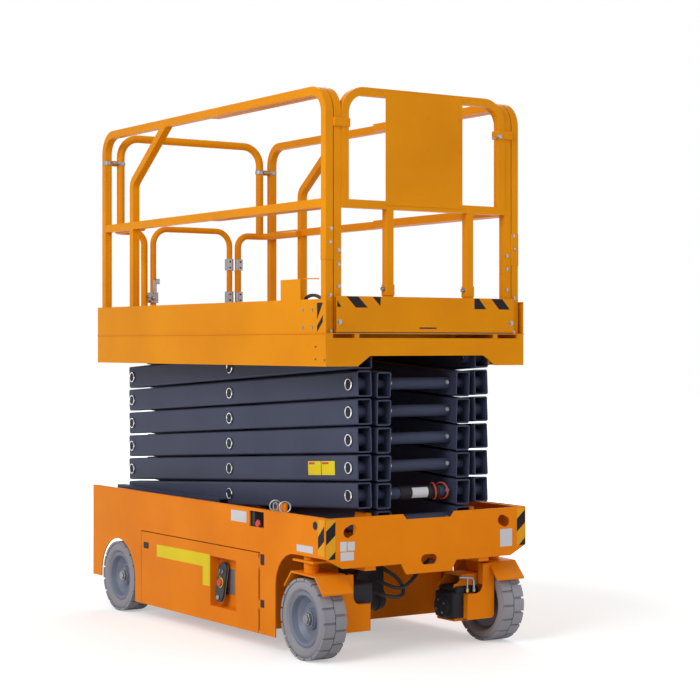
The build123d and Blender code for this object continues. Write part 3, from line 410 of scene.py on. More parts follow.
def newTree(name, inputs):
    # Named number inputs and a Finish; the tree comes with the keys that its modifier takes
    tree = bpy.data.node_groups.new(name, "GeometryNodeTree")
    newSocket = tree.interface.new_socket
    newSocket(name="Geometry", in_out="INPUT", socket_type="NodeSocketGeometry")
    keys = {}
    for label, value in inputs.items():
        kind = "NodeSocketInt" if isinstance(value, int) else "NodeSocketFloat"
        socket = newSocket(name=label, in_out="INPUT", socket_type=kind)
        socket.default_value = value
        keys[label] = socket.identifier
    keys["Finish"] = newSocket(name="Finish", in_out="INPUT", socket_type="NodeSocketMaterial").identifier
    newSocket(name="Geometry", in_out="OUTPUT", socket_type="NodeSocketGeometry")
    return (tree, keys), tree, tree.nodes.new("NodeGroupInput").outputs


def endTree(tree, start, shape):
    real = addNode(tree, "GeometryNodeRealizeInstances", {0: shape}).outputs[0]
    paint = addNode(tree, "GeometryNodeSetMaterial", {"Geometry": real, "Material": start["Finish"]})
    addNode(tree, "NodeGroupOutput", {0: paint.outputs[0]})


def combine(tree, **axes):
    return addNode(tree, "ShaderNodeCombineXYZ", axes).outputs[0]


def moved(tree, shape, offset, rotation=(0, 0, 0)):
    values = {"Geometry": shape, "Translation": offset, "Rotation": rotation}
    return addNode(tree, "GeometryNodeTransform", values).outputs[0]


def aimedCopies(tree, start, shape):
    # A copy of the shape on every point, turned to the point's aim
    points = addNode(tree, "GeometryNodeMeshToPoints", {"Mesh": start["Geometry"]}).outputs["Points"]
    aim = addNode(tree, "GeometryNodeInputNamedAttribute", {"Name": "aim"}, data_type="FLOAT_VECTOR")
    turn = addNode(tree, "FunctionNodeAlignRotationToVector", {"Vector": aim.outputs["Attribute"]}, axis="Z")
    values = {"Points": points, "Instance": shape, "Rotation": turn.outputs["Rotation"]}
    return addNode(tree, "GeometryNodeInstanceOnPoints", values).outputs[0]


def bakeTree(name, mesh, madeTree, values, body, stands=(), turned=Matrix()):
    # Runs a tree on a small starting mesh and keeps the plain mesh that comes out
    tree, keys = madeTree
    starter = inScene(bpy.data.objects.new(name + "Start", mesh))
    modifier = starter.modifiers.new("pattern", "NODES")
    modifier.node_group = tree
    for label, value in values.items():
        modifier[keys[label]] = value
    starter.update_tag()
    evaluated = starter.evaluated_get(bpy.context.evaluated_depsgraph_get())
    baked = bpy.data.meshes.new_from_object(evaluated)
    baked.name = name
    baked.transform(turned)
    starter.modifiers.remove(modifier)
    bpy.data.objects.remove(starter)
    piece = inScene(bpy.data.objects.new(name, baked))
    baked.shade_smooth()
    baked.set_sharp_from_angle(angle=math.radians(35))
    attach(piece, body)
    for node in stands:
        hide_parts(node)
    return piece


def makeBoltTree():
    # A hexagon or round head on a washer
    made, tree, start = newTree("boltHeads", {
        "Head Radius": 0.009, "Head Height": 0.006, "Sides": 6, "Washer Radius": 0.013, "Washer Height": 0.002})
    joined = addNode(tree, "GeometryNodeJoinGeometry")
    for part, sides in (("Head", start["Sides"]), ("Washer", 16)):
        height = start[part + " Height"]
        values = {"Vertices": sides, "Radius": start[part + " Radius"], "Depth": height}
        shape = addNode(tree, "GeometryNodeMeshCylinder", values).outputs["Mesh"]
        lift = combine(tree, Z=mathOf(tree, "MULTIPLY", height, 0.5))
        feed(tree, joined, {0: moved(tree, shape, lift)})
    endTree(tree, start, aimedCopies(tree, start, joined.outputs[0]))
    return made


def makeRingTree():
    # A round bead
    made, tree, start = newTree("pinRings", {"Ring Radius": 0.026, "Bead Radius": 0.0028})
    circles = []
    for label, count in (("Ring Radius", 28), ("Bead Radius", 8)):
        values = {"Resolution": count, "Radius": start[label]}
        circles.append(addNode(tree, "GeometryNodeCurvePrimitiveCircle", values).outputs[0])
    solid = addNode(tree, "GeometryNodeCurveToMesh", {"Curve": circles[0], "Profile Curve": circles[1]})
    endTree(tree, start, aimedCopies(tree, start, solid.outputs[0]))
    return made


boltTree = makeBoltTree()
ringTree = makeRingTree()


def patternRow(name, spots, tree, values, body, finish):
    # spots: (place, direction) pairs
    mesh = bpy.data.meshes.new(name + "Spots")
    mesh.from_pydata([place for place, _ in spots], [], [])
    aims = mesh.attributes.new("aim", "FLOAT_VECTOR", "POINT")
    for item, (_, direction) in zip(aims.data, spots):
        item.vector = Vector(direction).normalized()
    return bakeTree(name, mesh, tree, {**values, "Finish": paints[finish]}, body)


def boltRow(name, spots, body, finish="zincSteel", slot="bright_steel", **sizes):
    values = {label.replace("_", " "): value for label, value in sizes.items()}
    return patternRow(name, spots, boltTree, values, body, finish)


def ringRow(name, spots, body, radius, bead, finish="hardChrome"):
    values = {"Ring Radius": radius, "Bead Radius": bead}
    return patternRow(name, spots, ringTree, values, body, finish)


# Tyres: a carcass with two rows of blocks, and slots cut in from the shoulders

tyreSizes = dict(radius=0.1905, width=0.129, bead=0.131, treadDepth=0.009, blocks=17, blockGap=0.0120,
                 centreGap=0.0045, shoulder=0.008, paleFaceDepth=0.0035)


def makeTreadTree():
    made, tree, start = newTree("tyreTread", {
        "Radius": 0.19, "Count": 27, "Block Length": 0.036, "Block Width": 0.055, "Block Depth": 0.012,
        "Row Offset": 0.03})
    radius = start["Radius"]
    joined = addNode(tree, "GeometryNodeJoinGeometry", {0: start["Geometry"]})
    for side in (-1, 1):
        values = {"Resolution": start["Count"], "Radius": radius}
        circle = addNode(tree, "GeometryNodeCurvePrimitiveCircle", values).outputs[0]
        points = addNode(tree, "GeometryNodeCurveToPoints", {"Curve": circle}, mode="EVALUATED").outputs["Points"]
        size = combine(tree, X=start["Block Depth"], Y=start["Block Width"], Z=start["Block Length"])
        block = addNode(tree, "GeometryNodeMeshCube", {"Vertices Z": 6, "Size": size}).outputs["Mesh"]
        # Each block bends to the tyre's round
        place = addNode(tree, "GeometryNodeInputPosition").outputs[0]
        along = addNode(tree, "ShaderNodeSeparateXYZ", {0: place}).outputs["Z"]
        reach = mathOf(tree, "MULTIPLY", radius, radius)
        level = mathOf(tree, "SUBTRACT", reach, mathOf(tree, "MULTIPLY", along, along))
        sink = mathOf(tree, "SUBTRACT", mathOf(tree, "SQRT", level), radius)
        bent = addNode(tree, "GeometryNodeSetPosition", {"Geometry": block, "Offset": combine(tree, X=sink)})
        outward = addNode(tree, "FunctionNodeAlignRotationToVector", {"Vector": place}, axis="X", pivot_axis="Z")
        values = {"Rotation": outward.outputs[0], "Rotate By": (math.radians(90), 0, 0)}
        upright = addNode(tree, "FunctionNodeRotateRotation", values, rotation_space="LOCAL").outputs[0]
        values = {"Points": points, "Instance": bent.outputs["Geometry"], "Rotation": upright}
        placed = addNode(tree, "GeometryNodeInstanceOnPoints", values).outputs[0]
        real = addNode(tree, "GeometryNodeRealizeInstances", {0: placed}).outputs[0]
        shift = combine(tree, Z=mathOf(tree, "MULTIPLY", start["Row Offset"], side))
        turn = (0, 0, math.pi / tyreSizes["blocks"] * (side > 0))
        feed(tree, joined, {0: moved(tree, real, shift, turn)})
    endTree(tree, start, joined.outputs[0])
    return made


treadTree = makeTreadTree()


def makeTyre(end):
    low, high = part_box("tyre_" + end)
    centre = (low + high) / 2
    s = tyreSizes
    half = s["width"] / 2
    floor = s["radius"] - s["treadDepth"]
    bead = s["bead"]
    wall = [(bead + 0.001, 0.016), (bead + 0.012, 0.003), (bead + 0.03, 0.0005), (floor - 0.014, 0.002),
            (floor - 0.003, 0.010), (floor, 0.024)]
    profile = [(radius, inset - half) for radius, inset in wall]
    profile += [(radius, half - inset) for radius, inset in reversed(wall)] + profile[:1]
    bm = bmesh.new()
    addTurned(bm, profile, (0, 0, 0), (0, 0, 1), sides=64)
    bmesh.ops.remove_doubles(bm, verts=bm.verts, dist=sameSpot)
    rowWidth = half - s["centreGap"] / 2 - s["shoulder"] * 0.35
    pitch = 2 * math.pi * s["radius"] / s["blocks"]
    length = pitch - s["blockGap"]
    depth = s["treadDepth"] + 0.004
    reach = s["radius"] - depth / 2
    piece = bakeTree("treadedTyre_" + end, meshOf("carcass", bm), treadTree, {
        "Radius": reach, "Count": s["blocks"], "Block Length": length, "Block Width": rowWidth, "Block Depth": depth,
        "Row Offset": s["centreGap"] / 2 + rowWidth / 2, "Finish": paints["tyreRubber"]},
        "wheel_" + end, stands=("tyre_" + end,),
        turned=Matrix.Translation(centre) @ Matrix.Rotation(math.radians(90), 4, "X"))
    # The outer faces of the tread blocks take the paler tread rubber
    piece.data.materials.append(paints["treadRubber"])
    for polygon in piece.data.polygons:
        place = polygon.center
        if math.hypot(place.x - centre.x, place.z - centre.z) > s["radius"] - s["paleFaceDepth"]:
            polygon.material_index = 1


for end in wheelEnds:
    makeTyre(end)
print("tyres made")

# Hub nut, its washer and split pin

hubSizes = dict(nut=0.031, crown=0.0235, washer=0.040, foot=0.0212, seat=0.0242, top=0.044, slots=6, pin=0.027)


def makeHub(end):
    low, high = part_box("rim_" + end)
    side = -1 if "right" in end else 1
    centre = (low + high) / 2
    out = Vector((0, side, 0))
    s = hubSizes
    top = s["top"]
    bm = bmesh.new()
    addPeg(bm, s["washer"], s["foot"], s["seat"], centre, out, 28, 1)
    addTurned(bm, [(0, s["seat"]), (s["nut"], s["seat"]), (s["nut"], 0.0355), (s["crown"], 0.037), (s["crown"], top),
                   (0.016, top + 0.001), (0, top + 0.001)], centre, out, 6)
    for i in range(s["slots"]):
        angle = (i + 0.5) * 2 * math.pi / s["slots"]
        aim = Vector((math.cos(angle), 0, math.sin(angle)))
        addPeg(bm, 0.0034, 0.004, 0.0215, centre + out * (top - 0.002), aim, 8, 1)
    addPeg(bm, 0.0022, -s["pin"], s["pin"], centre + out * (top - 0.003), (1, 0, 0.4), 8)
    keepPiece("hubNut_" + end, bm, ["zincSteel", "rimPaint"], "wheel_" + end, 0.0008)


for end in wheelEnds:
    makeHub(end)
print("hubs made")

# Pin ends on the arms: a bright ring round a dark bore, and the bolts of the front cross tubes

stackSizes = dict(stages=6, faceY=0.383, ring=0.0255, bead=0.0032, bore=0.0215, tubeRadius=0.028, boltY=0.168)


def frontPin(k):
    # Front pin between stages k and k + 1; 0 is the chassis pivot
    rise = jointPlaces["centre_pin_2"].z - jointPlaces["centre_pin_1"].z
    return jointPlaces["lift"] + Vector((0, 0, k * rise))


def armTilt():
    low = jointPlaces["centre_pin_1"]
    front = frontPin(1)
    return math.atan2(front.z - low.z, front.x - low.x)


def pinPlaces():
    # Pins at rest: {inner arm body: [(x, z), ...]}
    found = {}
    for k in range(1, stackSizes["stages"] + 1):
        centre = jointPlaces["centre_pin_%d" % k]
        front = frontPin(k - 1)
        rear = centre * 2 - front
        spots = [(centre.x, centre.z)]
        if k > 1:
            spots.append((front.x, front.z))
        if k < stackSizes["stages"]:
            spots.append((rear.x, rear.z))
        found["inner_arms_%d" % k] = spots
    return found


for body, spots in pinPlaces().items():
    s = stackSizes
    ends = [((x, side * (s["faceY"] + 0.0008), z), (0, side, 0)) for x, z in spots for side in (-1, 1)]
    ringRow("pinRings_" + body, ends, body, s["ring"], s["bead"])
    bm = bmesh.new()
    for (x, y, z), aim in ends:
        addTurned(bm, [(s["bore"], 0.0), (s["bore"], 0.0012), (0.009, 0.0012), (0.008, 0.0004), (0, 0.0004)], (x, y, z),
                  aim, 20)
    keepPiece("pinBores_" + body, bm, ["blackSteel"], body)

for k in range(1, stackSizes["stages"] + 1):
    pivot = frontPin(k - 1)
    spots = [((pivot.x + stackSizes["tubeRadius"] - 0.001, y, pivot.z + 0.004), (1, 0, 0.12))
             for y in (-stackSizes["boltY"], stackSizes["boltY"])]
    boltRow("tubeBolts_%d" % k, spots, "inner_arms_%d" % k, Head_Radius=0.0075, Head_Height=0.007, Washer_Radius=0.0105)
outerTop = jointPlaces["platform_pin"]
ringRow("pinRings_platform", [((outerTop.x, side * (stackSizes["faceY"] + 0.0005), outerTop.z), (0, side, 0))
                              for side in (-1, 1)], "outer_arms_6", stackSizes["ring"], stackSizes["bead"])
print("pin ends made")


# Cross tube sleeve with its blank label and two looped ties

def makeSleeve():
    pivot = frontPin(1)
    radius = stackSizes["tubeRadius"]
    bm = bmesh.new()
    addBand(bm, radius, radius + 0.0035, -0.115, 0.115, 0.002, (pivot.x, 0.01, pivot.z), (0, 1, 0), 32)
    keepPiece("lockSleeve", bm, ["blackSteel"], "inner_arms_2")
    bm = bmesh.new()
    angles = [math.radians(-48 + 12 * i) for i in range(9)]
    label = [roundPoint(radius + 0.0045, angle) for angle in angles]
    label += [roundPoint(radius + 0.0038, angle) for angle in reversed(angles)]
    addPrism(bm, label, (pivot.x, 0.008, pivot.z), (1, 0, 0), (0, 0, 1), 0.092)
    keepPiece("sleeveLabel", bm, ["labelWhite"], "inner_arms_2", slot="bright_steel")
    spots = [((pivot.x + 0.004, y, pivot.z + 0.002), (0.25 * turn, 1, 0.1)) for y, turn in ((0.100, 1), (0.151, -1))]
    ringRow("tieLoops", spots, "inner_arms_2", radius + 0.011, 0.0042, "loopOrange")


makeSleeve()


# Thin films: hazard stripes and blank labels, as plates laid on a face

def filmPiece(name, shapes, place, across, body, thickness=0.0008, up=(0, 0, 1)):
    # shapes: {finish: outlines}, measured from place along across and up. Four plain numbers stand for a rectangle.
    bm = bmesh.new()
    for slot, outlines in enumerate(shapes.values()):
        for outline in outlines:
            if isinstance(outline[0], float):
                a0, a1, b0, b1 = outline
                outline = [(a0, b0), (a1, b0), (a1, b1), (a0, b1)]
            addPrism(bm, outline, place, across, up, thickness, slot)
    keepPiece(name, bm, list(shapes), body, smooth=0, slot="control_black")


frontX = cadBox[1].x
panelY = 0.5832
hazardSizes = dict(low=0.485, high=0.664, width=0.050, side=0.5782, rise=0.043, upperLow=0.551, upperHigh=0.614,
                   cornerIn=0.012, cornerUp=0.036, setBack=0.009, sideLow=0.500,
                   sideStripe=(0.529, 0.567, 0.637, 0.585))


def makeCornerBands():
    h = hazardSizes
    x1 = frontX - h["setBack"]
    x0 = x1 - h["width"]
    z0, z1, z2, z3 = h["sideStripe"]
    for side, name in sideNames.items():
        y0, y1 = sorted((side * (h["side"] - h["width"]), side * h["side"]))
        upper = [(y0, h["upperLow"]), (y1, h["upperLow"] + h["rise"]), (y1, h["upperHigh"] + h["rise"]),
                 (y0, h["upperHigh"])]
        lower = [(y0 + h["cornerIn"], h["low"]), (y1, h["low"]), (y1, h["low"] + h["cornerUp"])]
        filmPiece("cornerBand_front_" + name, {"stripeYellow": [(y0, y1, h["low"], h["high"])]},
                  (frontX + 0.0002, 0, 0), (0, 1, 0), "chassis", 0.0004)
        filmPiece("cornerStripes_front_" + name, {"stripeBlack": [upper, lower]}, (frontX + 0.0004, 0, 0), (0, 1, 0),
                  "chassis", 0.0006)
        filmPiece("cornerBand_side_" + name, {"stripeYellow": [(x0, x1, h["sideLow"], h["high"])]},
                  (0, side * (panelY + 0.0001), 0), (1, 0, 0), "chassis", 0.0004)
        filmPiece("cornerStripes_side_" + name, {"stripeBlack": [[(x0, z0), (x1, z1), (x1, z2), (x0, z3)]]},
                  (0, side * (panelY + 0.0003), 0), (1, 0, 0), "chassis", 0.0006)


makeCornerBands()

# Blank labels

filmPiece("frontLabels", {"labelWhite": [
    (-0.502, -0.466, 0.518, 0.562), (-0.461, -0.422, 0.520, 0.560), (-0.500, -0.427, 0.475, 0.514),
    (0.424, 0.498, 0.484, 0.569)]}, (frontX + 0.0003, 0, 0), (0, 1, 0), "chassis")
for name, side in (("sideLabels", -1), ("leftSideLabels", 1)):
    filmPiece(name, {"labelWhite": [(0.391, 0.541, 0.597, 0.651), (1.002, 1.142, 0.504, 0.536)]},
              (0, side * (panelY + 0.0003), 0), (1, 0, 0), "chassis")
filmPiece("doorLabel", {"labelYellow": [
    [(-0.395, 0.342), (0.104, 0.342), (0.104, 0.248), (0.176, 0.248), (0.176, 0.408), (-0.395, 0.406)]]},
    (0, -panelY - 0.0003, 0), (1, 0, 0), "tray_right")
filmPiece("recessLabel", {"labelGrey": [(0.255, 0.332, 0.218, 0.343)]}, (0, -0.5288, 0), (1, 0, 0), "tray_right")

# Dark marks where the panel is cut: a round hole and two slots ahead of the door, as black films of painted shade for
# their dark insides

markSizes = dict(x=1.161, z=0.634, radius=0.0195, sides=24, slots=(
    (0.674, 0.709, 0.407, 0.459), (0.674, 0.709, 0.203, 0.240)))
for side, name in sideNames.items():
    s = markSizes
    ring = []
    for i in range(s["sides"]):
        across, up = roundPoint(s["radius"], 2 * math.pi * i / s["sides"])
        ring.append((s["x"] + across, s["z"] + up))
    filmPiece("panelHole_" + name, {"blackSteel": [ring, *s["slots"]]}, (0, side * (panelY + 0.0001), 0), (1, 0, 0),
              "chassis")

armLabelSizes = dict(faceY=-0.3804, back=0.235, plates=((-0.118, -0.004, -0.033, 0.033), (0.002, 0.116, -0.033, 0.033)),
                     heads=((-0.112, -0.058, 0.018, 0.028), (0.008, 0.064, 0.018, 0.028)))


def makeArmLabel():
    s = armLabelSizes
    tilt = armTilt()
    along = Vector((math.cos(tilt), 0, math.sin(tilt)))
    up = Vector((-math.sin(tilt), 0, math.cos(tilt)))
    front = frontPin(2)
    place = Vector((front.x, s["faceY"], front.z)) - along * s["back"]
    filmPiece("armLabel", {"labelYellow": s["plates"]}, place, along, "outer_arms_2", up=up)
    filmPiece("armLabelHeads", {"signalRed": s["heads"]}, place + Vector((0, -0.0003, 0)), along, "outer_arms_2", up=up)


makeArmLabel()

boardSizes = dict(
    stripes=([(-0.512, 1.634), (-0.490, 1.634), (-0.512, 1.664)],
             [(-0.460, 1.682), (-0.411, 1.632), (-0.345, 1.632), (-0.397, 1.682)],
             [(-0.317, 1.682), (-0.274, 1.640), (-0.272, 1.682)],
             [(0.274, 1.632), (0.345, 1.632), (0.301, 1.682), (0.274, 1.682)],
             [(0.377, 1.682), (0.424, 1.632), (0.490, 1.632), (0.443, 1.682)]),
    slot=(-0.052, 0.048, 1.536, 1.5425),
    edges=((-0.411, -0.354, 1.536, 1.539), (0.345, 0.394, 1.536, 1.539), (-0.485, 0.476, 1.5305, 1.5315)),
    sideStripes=([(1.165, 1.578), (1.165, 1.653), (1.213, 1.653)],
                 [(1.165, 1.520), (1.213, 1.566), (1.213, 1.595), (1.165, 1.548)]))


def makeBoardStripes():
    s = boardSizes
    place = (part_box("extension_deck")[1].x + 0.0003, 0, 0)
    filmPiece("boardStripes", {"stripeBlack": s["stripes"]}, place, (0, 1, 0), "extension")
    # The black slot film is painted shade for the slot's dark inside
    filmPiece("boardSlots", {"blackSteel": [s["slot"]], "stripeYellow": s["edges"]}, place, (0, 1, 0), "extension")
    for side, name in sideNames.items():
        filmPiece("sideStripes_" + name, {"stripeBlack": s["sideStripes"]}, (0, side * 0.5754, 0), (1, 0, 0),
                  "platform")


makeBoardStripes()
print("films laid")

# A ledge along the joint of skirt and toe board, and the folding lock's box on the right toe board

ledgeSizes = dict(inset=0.001, proud=0.0045, low=1.510, high=1.516)


def makeLedges():
    low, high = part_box("platform_frame")
    s = ledgeSizes
    boxPiece("sideLedges", "platformAmber", (low.x + s["inset"], high.y - s["inset"], s["low"]),
             (high.x - s["inset"], high.y + s["proud"], s["high"]), "platform", 0.0015, (-1, 1))


makeLedges()

upstandSizes = dict(x0=0.843, x1=1.019, top=1.766, depth=0.016, wall=0.004, arcRun=0.070, arcRise=0.026)


def makeUpstand():
    low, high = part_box("toe_boards")
    s = upstandSizes
    y = low.y + 0.0005
    bm = bmesh.new()
    addBox(bm, (s["x0"], y, high.z - 0.004), (s["x1"], y + s["wall"], s["top"]))
    for x in (s["x0"], s["x1"] - s["wall"]):
        addBox(bm, (x, y + s["wall"] - 0.001, high.z - 0.004), (x + s["wall"], y + s["depth"], s["top"] - 0.004))
    keepPiece("lockBox", bm, ["platformAmber"], "platform", 0.0012)
    middle = s["x1"] - 0.008 + s["arcRun"]
    arc = [(middle - s["arcRun"] * math.cos(angle), y + 0.030, high.z - 0.006 + s["arcRise"] * math.sin(angle))
           for angle in (math.pi * step / 10 for step in range(11))]
    bm = bmesh.new()
    addPipe(bm, arc, 0.0085, 10)
    keepPiece("lockCable", bm, ["hoseRubber"], "platform")
    bm = bmesh.new()
    addPipe(bm, [(1.024, y + 0.016, 1.767), (1.090, y + 0.016, 1.766), (1.150, y + 0.018, 1.764)], 0.0032, 8)
    keepPiece("lockRod", bm, ["platformAmber"], "platform")


makeUpstand()


# A black strip in the gap under the front board: painted shadow of the gap
def makeGapShadeStrip():
    low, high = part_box("extension_deck")
    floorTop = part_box("platform_floor")[1].z
    boxPiece("gapShadeStrip", "blackPlastic", (high.x - 0.0035, low.y + 0.002, floorTop + 0.0006),
             (high.x + 0.0002, high.y - 0.002, floorTop + 0.0052), "extension")


makeGapShadeStrip()
print("platform side made")

# Bolts, grouped by the body that carries them

outX = (1, 0, 0)
outRight = (0, -1, 0)
postHead = dict(Head_Radius=0.0065, Head_Height=0.005, Washer_Radius=0.009)
rivetHead = dict(Head_Radius=0.006, Head_Height=0.003, Sides=14, Washer_Radius=0.008)
smallRivet = dict(Head_Radius=0.005, Head_Height=0.003, Sides=14, Washer_Radius=0.006)
skirtRivet = dict(Head_Radius=0.0042, Head_Height=0.002, Sides=12, Washer_Radius=0.005)
postSpots = ((0.532, 1.992), (0.536, 1.929), (0.536, 1.688), (0.532, 1.523))
boltSets = {
    "postBolts": dict(body="platform", sizes=postHead, spots=[
        ((1.2135, side * y, z), outX) for side in (-1, 1) for y, z in postSpots]),
    "extensionPostBolts": dict(body="extension", sizes=postHead, spots=[
        ((1.2135, side * 0.490, z), outX) for side in (-1, 1) for z in (1.894, 1.829, 1.729)]),
    "boardBolts": dict(body="extension", spots=[((frontX - 0.008, y, 1.565), outX) for y in (-0.500, 0.498)]),
    "panelRivets": dict(body="extension", sizes=smallRivet, finish="platformAmber", spots=[
        ((1.2212, y, z), outX) for y in (0.010, 0.193) for z in (2.381, 2.536)]),
    "sideRivets": dict(body="platform", sizes=rivetHead, spots=[
        ((x, side * 0.575, z), (0, side, 0)) for side in (-1, 1) for x in (1.039, 1.123) for z in (1.541, 1.621)]),
    "skirtRivets": dict(body="platform", sizes=skirtRivet, spots=[
        ((x, side * 0.575, z), (0, side, 0)) for side in (-1, 1)
        for x, z in ((1.153, 1.452), (1.153, 1.395), (1.228, 1.391))]),
    "bumperRivets": dict(body="chassis", sizes=rivetHead, finish="brassFitting", spots=[
        ((0.585, -0.24, z), outX) for z in (0.12, 0.17)]),
}
for name, look in boltSets.items():
    boltRow(name, look["spots"], look["body"], look.get("finish", "zincSteel"), **look.get("sizes", {}))
print("bolts placed")

# Clamps and straps of the guard rails

clampSizes = dict(legs=(-0.205, 0.262), legHalf=0.0235, legX=(1.1785, 1.2205), legZ=(1.690, 1.742), pinX=1.199,
                  pinZ=1.722, strap=((1.170, 0.430, 2.460), (1.2235, 0.520, 2.500)),
                  sleeve=((1.171, 0.5175, 1.848), (1.2155, 0.5625, 2.003)))


def makeClamps():
    s = clampSizes
    boxPiece("frontStraps", "platformAmber", *s["strap"], "extension", 0.003, (-1, 1))
    bm = bmesh.new()
    addTurned(bm, [(0.012, 0), (0.012, 0.012), (0.006, 0.016), (0, 0.016)], (1.216, 0.440, 2.472), outX, 14)
    addPeg(bm, 0.004, 0, 0.03, (1.214, 0.427, 2.466), (0.2, -1, -0.2), 8)
    keepPiece("strapKnob", bm, ["zincSteel"], "extension", 0.001)
    boxPiece("postSleeves", "platformAmber", *s["sleeve"], "platform", 0.003, (-1, 1))
    bm = bmesh.new()
    for y in s["legs"]:
        addBox(bm, (s["legX"][0], y - s["legHalf"], s["legZ"][0]), (s["legX"][1], y + s["legHalf"], s["legZ"][1]))
    keepPiece("legSockets", bm, ["platformAmber"], "extension", 0.002)
    spots = [((s["pinX"], y - s["legHalf"], s["pinZ"]), outRight) for y in s["legs"]]
    boltRow("legPins", spots, "extension", Head_Radius=0.009, Head_Height=0.014, Sides=14, Washer_Radius=0.012)


makeClamps()

gateSizes = dict(clamps=((1.707, 1.773), (1.897, 1.963)), latchLow=1.700, latchHigh=1.760, strapHeight=2.480, x=-1.08)


def makeGateHardware():
    x = gateSizes["x"]
    strap = gateSizes["strapHeight"]
    bm = bmesh.new()
    pivot = jointPlaces["gate_swing"]
    for low, high in gateSizes["clamps"]:
        addPeg(bm, 0.0095, low, high, (pivot.x, pivot.y, 0), (0, 0, 1), 14)
    keepPiece("gateHingeSleeves", bm, ["hardChrome"], "platform")
    for name, body, side, half in (("gateLegClamps", "gate", -1, 0.0195), ("gatePostClamps", "platform", 1, 0.0215)):
        bm = bmesh.new()
        for low, high in gateSizes["clamps"]:
            y0, y1 = sorted((pivot.y + side * 0.0215, pivot.y + side * 0.0495))
            addBox(bm, (pivot.x - half, y0, low), (pivot.x + half, y1, high))
            addBand(bm, half - 0.0024, half - 0.0007, low + 0.004, high - 0.004, 0,
                    (pivot.x, pivot.y + side * 0.0285, 0), (0, 0, 1), 24)
            for z in (low + 0.016, high - 0.016):
                addPeg(bm, 0.0055, 0, 0.004, (pivot.x + half - 0.0005, pivot.y + side * 0.034, z), outX, 6, 1)
        keepPiece(name, bm, ["zincSteel", "blackSteel"], body, 0.0015)
    bm = bmesh.new()
    addBox(bm, (x - 0.022, -0.276, gateSizes["latchLow"]), (x + 0.022, -0.228, gateSizes["latchHigh"]))
    addBox(bm, (x + 0.018, -0.300, 1.712), (x + 0.026, -0.236, 1.748))
    addTurned(bm, [(0.011, 0), (0.011, 0.016), (0.006, 0.020), (0, 0.020)], (x + 0.022, -0.262, 1.728), outX,
              14)
    addPeg(bm, 0.012, 0, 0.014, (x + 0.022, -0.290, 1.738), outX, 6)
    addBox(bm, (x + 0.020, -0.262, 1.752), (x + 0.026, -0.240, 1.830))
    addBox(bm, (x + 0.016, -0.244, 1.806), (x + 0.028, -0.222, 1.838))
    keepPiece("gateLatch", bm, ["zincSteel"], "gate", 0.0015)
    bm = bmesh.new()
    for side in (-1, 1):
        for y in (0.455, 0.540):
            addBand(bm, 0.0235, 0.026, -0.012, 0.012, 0.002, (x, side * y, strap), (0, 0, 1), 18)
        addPeg(bm, 0.006, 0, 0.05, (x + 0.022, side * 0.47, strap), (0, side, 0), 10)
    keepPiece("hoopClamps", bm, ["zincSteel"], "platform", 0.001)


makeGateHardware()
print("clamps made")

# Chassis: shackle rings and their lug, panel lip, release valve and door lock

shackleSizes = dict(x=(0.789, 0.876), y=0.570, z=0.697, radius=0.026, bead=0.0042)
valveSizes = dict(block=(0.560, 0.598), blockZ=(0.580, 0.662), knob=(0.625, 0.597), radius=0.023)
lockSizes = dict(x=-0.519, z=0.390, thickness=0.0016, corners=(
    (-0.028, -0.011), (-0.028, 0.011), (-0.022, 0.0165), (0.022, 0.0165), (0.028, 0.011), (0.028, -0.011),
    (0.022, -0.0165), (-0.022, -0.0165)))


def makeChassisDetails():
    low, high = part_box("chassis_shell")
    for side, name in sideNames.items():
        s = shackleSizes
        spots = [((x, side * s["y"], s["z"]), (0.75, side * aim, 0.1)) for x, aim in zip(s["x"], (0.66, 0.40))]
        ringRow("shackleRings_" + name, spots, "chassis", s["radius"], s["bead"], "zincSteel")
        boxPiece("shackleLug_" + name, "chassisOrange", (s["x"][0] + 0.030, 0.556, high.z - 0.003),
                 (s["x"][1] + 0.004, 0.572, high.z + 0.044), "chassis", 0.004, (side,))
        boxPiece("panelLip_" + name, "chassisOrange", (low.x + 0.004, 0.5785, high.z - 0.0005),
                 (1.236, 0.5845, high.z + 0.003), "chassis", 0.001, (side,))
    for side, name in sideNames.items():
        bm = bmesh.new()
        s = valveSizes
        x, z = s["knob"]
        addSideBox(bm, side, (s["block"][0], 0.500, s["blockZ"][0]), (s["block"][1], 0.572, s["blockZ"][1]))
        addPeg(bm, 0.011, 0, 0.032, (x, side * 0.528, z), (0, side, 0), 14)
        addTurned(bm, [(s["radius"] - 0.003, 0), (s["radius"], 0.004), (s["radius"], 0.009),
                       (s["radius"] - 0.004, 0.014), (0, 0.014)], (x, side * 0.560, z), (0, side, 0.05), 7, 1)
        keepPiece("releaseValve_" + name, bm, ["blackPlastic", "signalRed"], "chassis", 0.002)
    s = lockSizes
    for side, name in sideNames.items():
        bm = bmesh.new()
        addPrism(bm, s["corners"], (s["x"], side * (panelY + 0.0004), s["z"]), (1, 0, 0), (0, 0, 1), s["thickness"])
        addTurned(bm, [(0.0075, 0), (0.0065, 0.0012), (0, 0.0012)], (s["x"], side * (panelY + 0.0005), s["z"]),
                  (0, side, 0), 20, 1)
        keepPiece("doorLock_" + name, bm, ["blackSteel", "blackPlastic"], "tray_" + name)


makeChassisDetails()

# Controls in the recess of the right-hand tray

controlSizes = dict(place=(0.256, -0.5605, 0.277), lean=-8.5, length=0.200, width=0.082, half=0.006, knob=0.0225)


